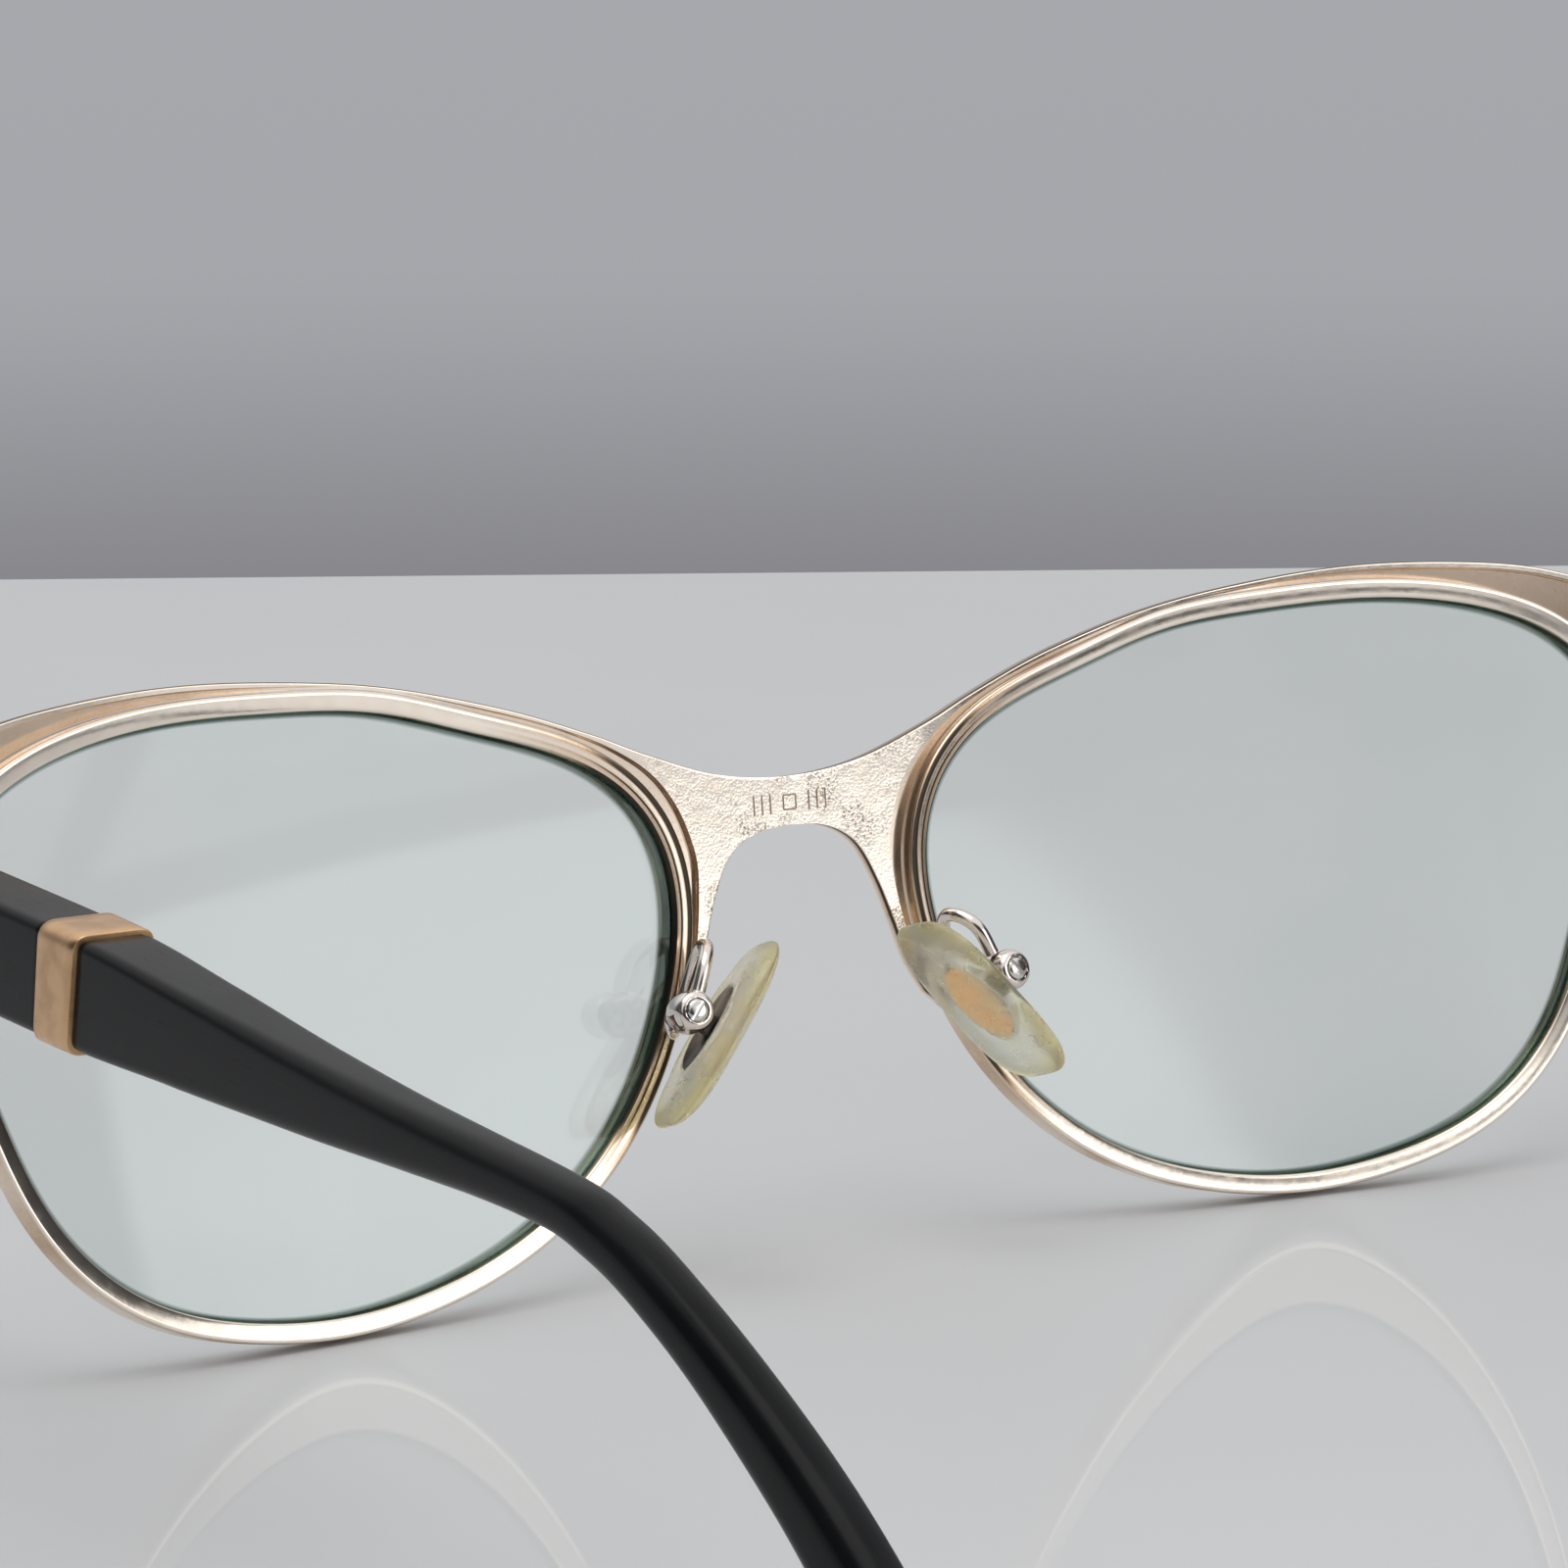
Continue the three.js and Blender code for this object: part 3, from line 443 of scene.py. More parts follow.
@dataclass(frozen=True)
class Paint(Finish):
    """A plain painted or laminated surface, with a faint mottle and, where set, a painted glow."""

    name: str
    colour: Colour
    shade: Colour
    mottle: float
    shine: float
    gloss: float = 0.5
    coat: float = 0.0
    # painted glow: emission standing in for light that shines through a part
    glow: float = 0.0

    def fill(self, net: Net) -> None:
        """Builds the shader.

        Args:
            net: An empty net.
        """
        cloud = net.noise(self.mottle, 3.0).step(0.3, 0.7)
        colour = net.mixed(cloud, self.colour, self.shade)
        rough = self.shine + 0.03 * cloud
        net.finish_with(
            Base_Color=colour,
            Roughness=rough,
            Specular_IOR_Level=self.gloss,
            Coat_Weight=self.coat,
            Coat_Roughness=0.02,
            Emission_Color=colour,
            Emission_Strength=self.glow,
        )


GOLD = Plating("champagne_gold", (0.97, 0.875, 0.77), (0.48, 0.27, 0.11))
ROSE = Plating("rose_silver", (0.84, 0.76, 0.72), (0.26, 0.20, 0.17), grain=0.006, tarnish_share=0.10)
BAND_GOLD = Plating(
    "band_gold", (0.72, 0.46, 0.26), (0.26, 0.15, 0.07), shine=0.30, grain=0.02, tarnish_share=0.35
)
DARK_METAL = Plating(
    "dark_insert_metal", (0.16, 0.14, 0.13), (0.05, 0.04, 0.035), shine=0.3, grain=0.02, tarnish_share=0.4
)
STEEL = Plating(
    "screw_steel", (0.74, 0.72, 0.70), (0.22, 0.19, 0.17), shine=0.16, grain=0.006, tarnish_share=0.2
)
ENGRAVED = Plating("engraved_gold", (0.40, 0.32, 0.24), (0.16, 0.11, 0.07), shine=0.4, tarnish_share=0.5)
BLACK = Acetate("black_acetate")
PAD = SoftPlastic("yellowed_pad")
LENS = ClearLens("clear_lens")
# the glue is brightened and glows: painted light standing in for light shining through the pad
GLUE = Paint("amber_glue", (1.0, 0.48, 0.06), (0.9, 0.55, 0.16), mottle=1.2, shine=0.3, glow=0.22)
FLOOR = Paint(
    "pale_floor", (0.65, 0.657, 0.675), (0.63, 0.637, 0.655), mottle=60.0, shine=0.5, gloss=0.25, coat=0.2
)


# ---------------------------------------------------------------------------------------------------------
# Mesh tools


@dataclass
class Solid:
    """Points in millimetres and the faces between them, with named masks at the points."""

    points: Array
    faces: list[tuple[int, ...]]
    masks: dict[str, Array] | None = None

    def moved(self, move: Move) -> "Solid":
        """The same solid with its points moved.

        Args:
            move: Takes and gives an array of points.

        Returns:
            The moved solid.
        """
        return Solid(move(self.points), self.faces, self.masks)


def loft(rings: Array, looped: bool = False, masks: dict[str, Array] | None = None) -> Solid:
    """A surface through rings of points.

    Args:
        rings: Points by ring, place in the ring and axis.
        looped: Whether the last ring joins the first; otherwise both ends are closed.
        masks: Numbers by ring and place in the ring.

    Returns:
        The closed solid.
    """
    count, size = rings.shape[:2]
    faces: list[tuple[int, ...]] = []
    for i in range(count if looped else count - 1):
        a, b = i * size, ((i + 1) % count) * size
        for j in range(size):
            k = (j + 1) % size
            faces.append((a + j, a + k, b + k, b + j))
    if not looped:
        faces.append(tuple(range(size))[::-1])
        faces.append(tuple(range((count - 1) * size, count * size)))
    flat = {name: values.reshape(-1) for name, values in (masks or {}).items()}
    return Solid(rings.reshape(-1, 3), faces, flat)


def joined(solids: Sequence[Solid]) -> Solid:
    """Several solids as one.

    Args:
        solids: The solids, all with the same masks.

    Returns:
        One solid.
    """
    faces: list[tuple[int, ...]] = []
    shift = 0
    for solid in solids:
        faces += [tuple(k + shift for k in face) for face in solid.faces]
        shift += len(solid.points)
    names = solids[0].masks or {}
    masks = {name: np.concatenate([solid.masks[name] for solid in solids]) for name in names}
    return Solid(np.vstack([solid.points for solid in solids]), faces, masks)


def rounded(corners: Sequence[tuple[float, float, float]], steps: int = 5) -> Array:
    """An outline with rounded corners.

    Args:
        corners: Place and radius of each corner.
        steps: Points in each rounding, less one.

    Returns:
        The outline's points.
    """
    points = []
    for i, (x, y, radius) in enumerate(corners):
        here = np.array([x, y])
        before = np.array(corners[i - 1][:2]) - here
        after = np.array(corners[(i + 1) % len(corners)][:2]) - here
        if radius <= 0:
            points.append(here)
            continue
        reach = min(radius, 0.49 * np.linalg.norm(before), 0.49 * np.linalg.norm(after))
        start = here + before / np.linalg.norm(before) * reach
        end = here + after / np.linalg.norm(after) * reach
        for t in np.linspace(0, 1, steps + 1):
            points.append((1 - t) ** 2 * start + 2 * t * (1 - t) * here + t**2 * end)
    return np.array(points)


def turned(profile: Sequence[tuple[float, float]], sides: int = 48) -> Solid:
    """A turned solid about Z.

    Args:
        profile: Radius and height of each point from the bottom to the top.
        sides: Points round the axis.

    Returns:
        The solid; ends off the axis are closed flat.
    """
    angles = np.linspace(0, 2 * np.pi, sides, endpoint=False)
    rings = [
        np.stack([r * np.cos(angles), r * np.sin(angles), np.full(sides, z)], axis=1) for r, z in profile
    ]
    return loft(np.array(rings))


def block(outline: Array, low: float, high: float) -> Solid:
    """An outline over (x, y) given height.

    Args:
        outline: Its points.
        low: The bottom's z.
        high: The top's z.

    Returns:
        The solid.
    """
    rings = [np.column_stack([outline, np.full(len(outline), z)]) for z in (low, high)]
    return loft(np.array(rings))


def brick(low: Sequence[float], high: Sequence[float]) -> Solid:
    """A box, for cutting with and for rounding later.

    Args:
        low: Its lowest corner.
        high: Its highest corner.

    Returns:
        The solid.
    """
    (x0, y0, z0), (x1, y1, z1) = low, high
    return block(np.array([[x0, y0], [x1, y0], [x1, y1], [x0, y1]]), z0, z1)


def along_y(points: Array) -> Array:
    """Turns what stands along Z to lie along Y."""
    return np.column_stack([points[:, 0], points[:, 2], -points[:, 1]])


def smoothstep(value: Any, low: float, high: float) -> Any:
    """A smooth step on numbers or arrays.

    Args:
        value: The input.
        low: Where it starts.
        high: Where it ends.

    Returns:
        From 0 to 1.
    """
    t = np.clip((value - low) / (high - low), 0, 1)
    return t * t * (3 - 2 * t)


def catmull(points: Array, count: int) -> Array:
    """Evenly spaced points on a smooth curve through points.

    Args:
        points: What it runs through.
        count: How many spans it is given.

    Returns:
        Its points, count + 1 of them.
    """
    padded = np.vstack([points[:1], points, points[-1:]])
    dense = []
    for i in range(len(points) - 1):
        p0, p1, p2, p3 = padded[i : i + 4]
        t = np.linspace(0, 1, 60, endpoint=False)[:, None]
        v0, v1 = (p2 - p0) / 2, (p3 - p1) / 2
        cubic = (2 * p1 - 2 * p2 + v0 + v1) * t**3 + (-3 * p1 + 3 * p2 - 2 * v0 - v1) * t**2
        dense.append(cubic + v0 * t + p1)
    line = np.vstack([*dense, points[-1:]])
    return evenly(line, np.linspace(0, 1, count + 1))


def evenly(line: Array, shares: Array) -> Array:
    """Points at shares of a line's length.

    Args:
        line: Close points.
        shares: From 0 to 1.

    Returns:
        One point for each share.
    """
    steps = np.linalg.norm(np.diff(line, axis=0), axis=1)
    length = np.concatenate([[0], np.cumsum(steps)])
    return np.column_stack([np.interp(shares * length[-1], length, line[:, k]) for k in range(line.shape[1])])


def tube(line: Array, radii: Array, sides: int) -> Solid:
    """A round wire along a line, with no twist.

    Args:
        line: Its centre line.
        radii: The wire's radius at each point.
        sides: Points round the wire.

    Returns:
        The solid.
    """
    tangents = np.gradient(line, axis=0)
    tangents /= np.linalg.norm(tangents, axis=1)[:, None]
    across = np.cross(tangents[0], [0.0, 0.0, 1.0])
    angles = np.linspace(0, 2 * np.pi, sides, endpoint=False)
    rings = []
    for point, tangent, radius in zip(line, tangents, radii):
        across = across - tangent * across.dot(tangent)
        across /= np.linalg.norm(across)
        up = np.cross(across, tangent)
        rings.append(point + radius * (np.outer(np.cos(angles), across) + np.outer(np.sin(angles), up)))
    return loft(np.array(rings))


def make(name: str, solid: Solid, crease: float = 35.0) -> bpy.types.Object:
    """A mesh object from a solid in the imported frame's axes, its points in millimetres.

    Args:
        name: The piece's name.
        solid: Its points and faces.
        crease: Faces that meet at more than this many degrees have a sharp edge.

    Returns:
        The object.
    """
    mesh = bpy.data.meshes.new(name)
    mesh.from_pydata((np.asarray(solid.points, float) * MM).tolist(), [], solid.faces)
    for mask, values in (solid.masks or {}).items():
        mesh.attributes.new(mask, "FLOAT", "POINT").data.foreach_set("value", values.astype(np.float32))
    work = bmesh.new()
    work.from_mesh(mesh)
    bmesh.ops.remove_doubles(work, verts=work.verts, dist=2e-7)
    bmesh.ops.dissolve_degenerate(work, dist=1e-7, edges=work.edges)
    bmesh.ops.recalc_face_normals(work, faces=work.faces)
    work.to_mesh(mesh)
    work.free()
    piece = bpy.data.objects.new(name, mesh)
    bpy.context.scene.collection.objects.link(piece)
    soften(piece, crease)
    return piece


def soften(piece: bpy.types.Object, crease: float = 35.0) -> None:
    """Smooth shading up to a crease angle.

    Args:
        piece: The object.
        crease: The angle in degrees.
    """
    piece.data.polygons.foreach_set("use_smooth", [True] * len(piece.data.polygons))
    piece.data.set_sharp_from_angle(angle=math.radians(crease))
    piece.data.update()


def apply_modifier(piece: bpy.types.Object, kind: str, settings: dict[str, Any]) -> None:
    """Runs one modifier on a piece and keeps its result.

    Args:
        piece: The object.
        kind: The modifier's type.
        settings: Its properties.
    """
    modifier = piece.modifiers.new(kind.lower(), kind)
    for key, value in settings.items():
        setattr(modifier, key, value)
    bpy.context.view_layer.update()
    graph = bpy.context.evaluated_depsgraph_get()
    result = bpy.data.meshes.new_from_object(piece.evaluated_get(graph))
    piece.modifiers.clear()
    piece.data = result
    soften(piece)


def carve(piece: bpy.types.Object, tools: Sequence[Solid], how: Carve = Carve.CUT) -> bpy.types.Object:
    """Cuts solids out of a piece or joins them to it.

    Args:
        piece: The object to work on.
        tools: Solids in the same millimetres.
        how: Cut or join.

    Returns:
        The same object.
    """
    for tool in tools:
        other = make("tool", tool)
        apply_modifier(piece, "BOOLEAN", {"operation": how.value, "object": other, "solver": "EXACT"})
        bpy.data.objects.remove(other)
    return piece


def round_edges(piece: bpy.types.Object, width: float, segments: int = 3) -> bpy.types.Object:
    """Rounds a piece's sharp edges.

    Args:
        piece: The object.
        width: The rounding's width in millimetres.
        segments: Faces in each rounding.

    Returns:
        The same object.
    """
    settings = {
        "width": width * MM,
        "segments": segments,
        "limit_method": "ANGLE",
        "angle_limit": math.radians(38),
        "use_clamp_overlap": True,
        "harden_normals": False,
    }
    apply_modifier(piece, "BEVEL", settings)
    return piece


def dress(piece: bpy.types.Object, finish: Finish, slot: str, body: str, *nodes: str) -> bpy.types.Object:
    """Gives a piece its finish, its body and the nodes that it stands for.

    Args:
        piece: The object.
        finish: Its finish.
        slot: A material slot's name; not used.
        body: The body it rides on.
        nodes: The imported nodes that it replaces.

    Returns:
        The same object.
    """
    piece.data.materials.clear()
    piece.data.materials.append(finish.material())
    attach(piece, body)
    if nodes:
        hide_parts(*nodes)
    log.info("%s: %d faces on %s", piece.name, len(piece.data.polygons), body)
    return piece


# ---------------------------------------------------------------------------------------------------------
# The front's shape


@dataclass
class Eye:
    """The lens outline and the curved sheet that rims and plate follow, round the left lens's middle."""

    width: float = 53.0
    height: float = 37.4
    bridge: float = 17.0
    wrap: float = math.radians(4.8)
    tilt: float = math.radians(11.4)
    curve: float = 122.0
    wire_width: float = 1.25
    wire_depth: float = 1.9
    groove: float = 0.5
    lock_angle: float = math.radians(8)
    lock_slit: float = 0.3
    lens_front: float = -1.55
    lens_back: float = -0.35
    lens_inset: float = 0.12
    bevel_inset: float = 0.06
    soften: float = 5.5
    table_size: int = 7200
    radii: tuple[float, ...] = (
        23.8, 27.6, 23.8, 19.7, 18.1, 18.8, 21.2, 26.1,
        25.1, 22.6, 20.3, 18.6, 18.2, 19.0, 21.0, 22.3,
    )  # fmt: skip

    def __post_init__(self) -> None:
        """Solves the outline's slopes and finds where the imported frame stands."""
        self.lens_x = (self.width + self.bridge) / 2
        self.nose_x = self.lens_x - self.width / 2
        self.edge_x = self.lens_x + self.width / 2
        self.step = 2 * np.pi / len(self.radii)
        self.values = np.array(self.radii)
        ring = np.eye(len(self.radii))
        system = 4 * ring + np.roll(ring, 1, axis=1) + np.roll(ring, -1, axis=1)
        rises = 3 * (np.roll(self.values, -1) - np.roll(self.values, 1)) / self.step
        self.slopes = np.linalg.solve(system, rises)
        self.turns = np.linspace(0, 2 * np.pi, self.table_size, endpoint=False)
        self.softened = self.soften_round(self.knot_radius(self.turns))
        self.offset = self.find_offset()

    def soften_round(self, radii: Array) -> Array:
        """Softens radii all round with a bell curve.

        Args:
            radii: Radii at even angles.

        Returns:
            The softened radii at the same angles.
        """
        index = np.arange(len(radii))
        away = np.minimum(index, len(radii) - index) * 360 / len(radii)
        bell = np.exp(-0.5 * (away / self.soften) ** 2)
        return np.fft.irfft(np.fft.rfft(radii) * np.fft.rfft(bell / bell.sum()), len(radii))

    def lip_radius(self, angle: Array) -> Array:
        """The outline's radius at angles, softened over a few degrees."""
        return np.interp(np.asarray(angle) % (2 * np.pi), self.turns, self.softened, period=2 * np.pi)

    def knot_radius(self, angle: Array) -> Array:
        """The radius of the curve through the chosen radii.

        Args:
            angle: Angles from the temple side over the top.

        Returns:
            A radius for each.
        """
        place = np.asarray(angle) / self.step
        i = np.floor(place).astype(int)
        t = place - i
        a, b = i % len(self.values), (i + 1) % len(self.values)
        near = 2 * t**3 - 3 * t**2 + 1
        bend = (t**3 - 2 * t**2 + t) * self.slopes[a] + (t**3 - t**2) * self.slopes[b]
        return near * self.values[a] + (1 - near) * self.values[b] + self.step * bend

    def outline(self, angle: Array, out: Array | float = 0.0) -> Array:
        """Points of the lip, moved outwards in the plane of the lens.

        Args:
            angle: Angles from the temple side over the top.
            out: How far outwards.

        Returns:
            Points (u, v).
        """

        def at(a: Array) -> Array:
            """The lip's points at angles."""
            return self.lip_radius(a)[..., None] * np.stack([np.cos(a), np.sin(a)], axis=-1)

        along = at(angle + 1e-3) - at(angle - 1e-3)
        along /= np.linalg.norm(along, axis=-1)[..., None]
        aside = np.stack([along[..., 1], -along[..., 0]], axis=-1)
        return at(angle) + aside * np.asarray(out)[..., None]

    def wire_angles(self, count: int) -> Array:
        """Angles round the rim from one side of its slit to the other.

        Args:
            count: How many spans they make.

        Returns:
            The angles, count + 1 of them.
        """
        half = self.lock_slit / 2 / np.linalg.norm(self.outline(np.array(self.lock_angle)))
        return self.lock_angle + half + np.linspace(0, 1, count + 1) * 2 * (np.pi - half)

    def lens_edge(self) -> list[tuple[float, float]]:
        """The lens's bevelled edge, from its front to its back.

        Returns:
            How far outwards and how far back each point is.
        """
        inset, bevel = -self.lens_inset, self.groove - self.bevel_inset
        front, back = (inset, self.lens_front), (inset, self.lens_back)
        return [front, (inset, -1.25), (bevel, -1.02), (bevel, -0.88), (inset, -0.65), back]

    def sheet(self, uv: Array, back: Array | float) -> Array:
        """Points of the left eye's sheet in the front before it leans.

        Args:
            uv: Points across the lens.
            back: How far behind the rim's back lip.

        Returns:
            Points (x, y, z).
        """
        u, v = uv[..., 0], uv[..., 1]
        depth = (u * u + v * v) / (2 * self.curve) + back
        cos, sin = math.cos(self.wrap), math.sin(self.wrap)
        return np.stack([self.lens_x + u * cos - depth * sin, u * sin + depth * cos, v], axis=-1)

    def rim_depth(self, x: Array, z: Array) -> Array:
        """Depth of the rims' back sheet at (x, z)."""
        u = (np.abs(x) - self.lens_x) / math.cos(self.wrap)
        return u * math.sin(self.wrap) + (u * u + z * z) / (2 * self.curve)

    def lean(self, points: Array) -> Array:
        """Turns points of the front to its lean.

        Args:
            points: Points (x, y, z) of the upright front.

        Returns:
            The turned points.
        """
        cos, sin = math.cos(self.tilt), math.sin(self.tilt)
        x, y, z = points[..., 0], points[..., 1], points[..., 2]
        return np.stack([x, y * cos - z * sin, y * sin + z * cos], axis=-1)

    def place_front(self, points: Array, side: Side) -> Array:
        """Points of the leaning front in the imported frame's axes, in millimetres."""
        return self.place_level(self.lean(points), side)

    def place_level(self, points: Array, side: Side) -> Array:
        """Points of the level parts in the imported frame's axes, in millimetres."""
        return points * np.array([side.value, 1, 1]) + self.offset

    def find_offset(self) -> Array:
        """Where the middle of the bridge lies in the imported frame, found from the left lens.

        Returns:
            The offset in millimetres.
        """
        angles = self.wire_angles(48)
        loops = [self.sheet(self.outline(angles, out), back) for out, back in self.lens_edge()]
        low = np.array(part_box("lens_left")[0]) / MM
        _, y, z = low - self.lean(np.vstack(loops)).min(axis=0)
        return np.array([0.0, y, z])


@dataclass(frozen=True)
class Screw:
    """A screw along Z with a domed, slotted head at its low end."""

    radius: float
    head: float
    height: float
    low: float
    high: float
    slot: float = 0.24

    def build(self, name: str, move: Move) -> bpy.types.Object:
        """Makes the screw.

        Args:
            name: The piece's name.
            move: Places it.

        Returns:
            The piece.
        """
        top = self.low - self.height
        dome = [(0.02, 0.0), (0.55, 0.02), (0.85, 0.12), (0.97, 0.3), (1.0, 0.5)]
        profile = [(self.head * across, top + self.height * down) for across, down in dome]
        profile += [(self.head, self.low), (self.radius, self.low + 0.01)]
        profile += [(self.radius, self.high - 0.12), (self.radius * 0.7, self.high)]
        half, long = self.slot / 2, self.head + 1
        slot = brick((-long, -half, top - 1), (long, half, top + self.height * 0.5))
        return carve(make(name, turned(profile).moved(move)), [slot.moved(move)])


@dataclass
class Rims:
    """The grooved rim wires, their closing blocks and the lenses."""

    eye: Eye
    steps: int = 320
    lock_block: float = 2.0
    lock_width: float = 2.0
    gap: float = 0.08

    def wire(self, side: Side) -> bpy.types.Object:
        """The rim wire with its groove, a crowned back and rounded edges.

        Args:
            side: Left or right.

        Returns:
            The piece.
        """
        eye = self.eye
        width, depth, groove = eye.wire_width, eye.wire_depth, eye.groove + 0.06
        corners = [
            (0.0, 0.0, 0.16),
            (0.0, -0.45, 0.08),
            (groove, -0.8, 0.03),
            (groove, -1.1, 0.03),
            (0.0, -1.45, 0.08),
            (0.0, -depth, 0.12),
            (width * 0.5, -depth - 0.015, 0.4),
            (width, -depth, 0.22),
            (width, 0.0, 0.30),
            (width * 0.5, 0.02, 0.4),
        ]
        section = rounded(corners)
        angles = eye.wire_angles(self.steps)
        rings = eye.sheet(eye.outline(angles[:, None], section[None, :, 0]), section[None, :, 1])
        solid = loft(rings, masks={"grime": self.wire_grime(section, angles)})
        return make(f"rim_wire_{side.word}", solid.moved(lambda p: eye.place_front(p, side)), 60)

    @staticmethod
    def wire_grime(section: Array, angles: Array) -> Array:
        """Tarnish at the lip, painted shade next to the plate at the outer edge, and painted shade lines along
        the back beside the nose.

        Args:
            section: The wire's section, outwards and back.
            angles: Angles along the wire.

        Returns:
            The mask by ring and place in the ring.
        """
        out, back = section.T
        lip = smoothstep(-out, -0.14, -0.02) * smoothstep(-back, -0.02, 0.14)
        # the outer edge, next to the plate, gets painted shade and the lip gets tarnish, both in patches along
        # the wire
        edges = np.maximum(lip, 0.85 * smoothstep(out, 1.12, 1.25))
        patches = 0.45 + 0.55 * np.sin(angles * 7.0 + 1.2 * np.sin(angles * 3.0)) ** 2
        # painted shade: near-black lines across the wire's back beside the nose, where shade and dark
        # reflections fall between rim and plate
        stops = [-0.1, 0.1, 0.16, 0.3, 0.36, 0.5, 0.56, 0.74, 0.82, 1.06, 1.14, 1.25]
        shades = [1.35, 1.35, 0.45, 0.6, 1.3, 1.3, 0.1, 0.15, 1.25, 1.25, 0.55, 0.7]
        lines = np.interp(out, stops, shades) * smoothstep(back, -1.2, -0.3)
        turn = np.degrees(angles) % 360
        nasal = smoothstep(turn, 126, 158) * (1 - smoothstep(turn, 196, 222))
        return np.maximum(np.outer(patches, edges), np.outer(nasal, lines))

    def lens(self, side: Side) -> bpy.types.Object:
        """The lens with its bevel in the groove.

        Args:
            side: Left or right.

        Returns:
            The piece.
        """
        eye = self.eye
        front, back, inset = eye.lens_front, eye.lens_back, -eye.lens_inset
        # dark_band: how far onto the faces the painted dark reflection of the edge reaches
        chamfer, dark_band = 0.04, 0.36
        shares = np.linspace(0, 1, 15)[:-1] ** 0.8
        face = [(share, 0.0) for share in shares] + [(1.0, -dark_band)]
        edge = [
            (1.0, inset - chamfer, front),
            (1.0, inset, front + chamfer),
            *[(1.0, out, depth) for out, depth in eye.lens_edge()[1:-1]],
            (1.0, inset, back - chamfer),
            (1.0, inset - chamfer, back),
        ]
        front_face = [(share, out, front) for share, out in face]
        back_face = [(share, out, back) for share, out in face[::-1]]
        section = np.array(front_face + edge + back_face)
        # 1 on the edge rings, where the lens's dark reflection is painted
        border = np.concatenate([np.zeros(len(face)), np.ones(len(edge)), np.zeros(len(face))])
        angles = np.linspace(0, 2 * np.pi, 256, endpoint=False)
        points = eye.outline(angles[:, None], section[None, :, 1]) * section[None, :, 0, None]
        rings = eye.sheet(points, section[None, :, 2])
        solid = loft(rings, looped=True, masks={"edge": np.tile(border, (len(angles), 1))})
        return make(f"lens_glass_{side.word}", solid.moved(lambda p: eye.place_front(p, side)), 25)

    def at_lock(self, side: Side) -> Move:
        """Moves what is modelled at the origin, X outwards and Z along the rim, to the closing block.

        Args:
            side: Left or right.

        Returns:
            The move.
        """
        eye = self.eye
        angle = np.array(eye.lock_angle)

        def spot(out: float, along: float, back: float) -> Array:
            """A place beside the rim at its slit.

            Args:
                out: How far outwards.
                along: How far along the rim.
                back: How far behind the rim's back lip.

            Returns:
                The point.
            """
            here = eye.outline(angle, out)
            ahead = eye.outline(angle + 1e-3, out) - eye.outline(angle - 1e-3, out)
            return eye.sheet(here + ahead / np.linalg.norm(ahead) * along, back)

        middle = spot(eye.wire_width + 2 * self.gap + self.lock_width / 2, 0, -eye.wire_depth / 2)
        up = spot(0, 1, 0) - spot(0, 0, 0)
        out = spot(1, 0, 0) - spot(0, 0, 0)
        up, out = up / np.linalg.norm(up), out / np.linalg.norm(out)
        basis = np.array([out, np.cross(up, out), up])
        return lambda points: eye.place_front(points @ basis + middle, side)

    def locks(self, side: Side) -> None:
        """The closing blocks and the screw through them.

        Args:
            side: Left or right.
        """
        move = self.at_lock(side)
        half, slit = self.lock_width / 2, self.eye.lock_slit / 2
        corners = [(-half, -0.95, 0.1), (half, -0.95, 0.7), (half, 0.95, 0.7), (-half, 0.95, 0.1)]
        for word, low in (("upper", slit), ("lower", -slit - self.lock_block)):
            solid = block(rounded(corners, 6), low, low + self.lock_block).moved(move)
            piece = round_edges(make(f"closing_block_{word}_{side.word}", solid), 0.12)
            hole = turned([(0.53, low - 1), (0.53, low + self.lock_block + 1)]).moved(move)
            carve(piece, [hole])
            dress(piece, GOLD, "gold", "front", f"rim_lock_{word}_{side.word}")
        seat = -slit - self.lock_block - self.gap
        screw = Screw(radius=0.45, head=0.8, height=0.5, low=seat, high=self.lock_block - 0.1)
        piece = screw.build(f"closing_screw_{side.word}", move)
        dress(piece, STEEL, "steel", "front", f"rim_screw_{side.word}")

    def build(self) -> None:
        """Makes and dresses everything on both sides."""
        for side in Side:
            dress(self.wire(side), GOLD, "gold", "front", f"eyewire_{side.word}")
            dress(self.lens(side), LENS, "lens", "front", f"lens_{side.word}")
            self.locks(side)


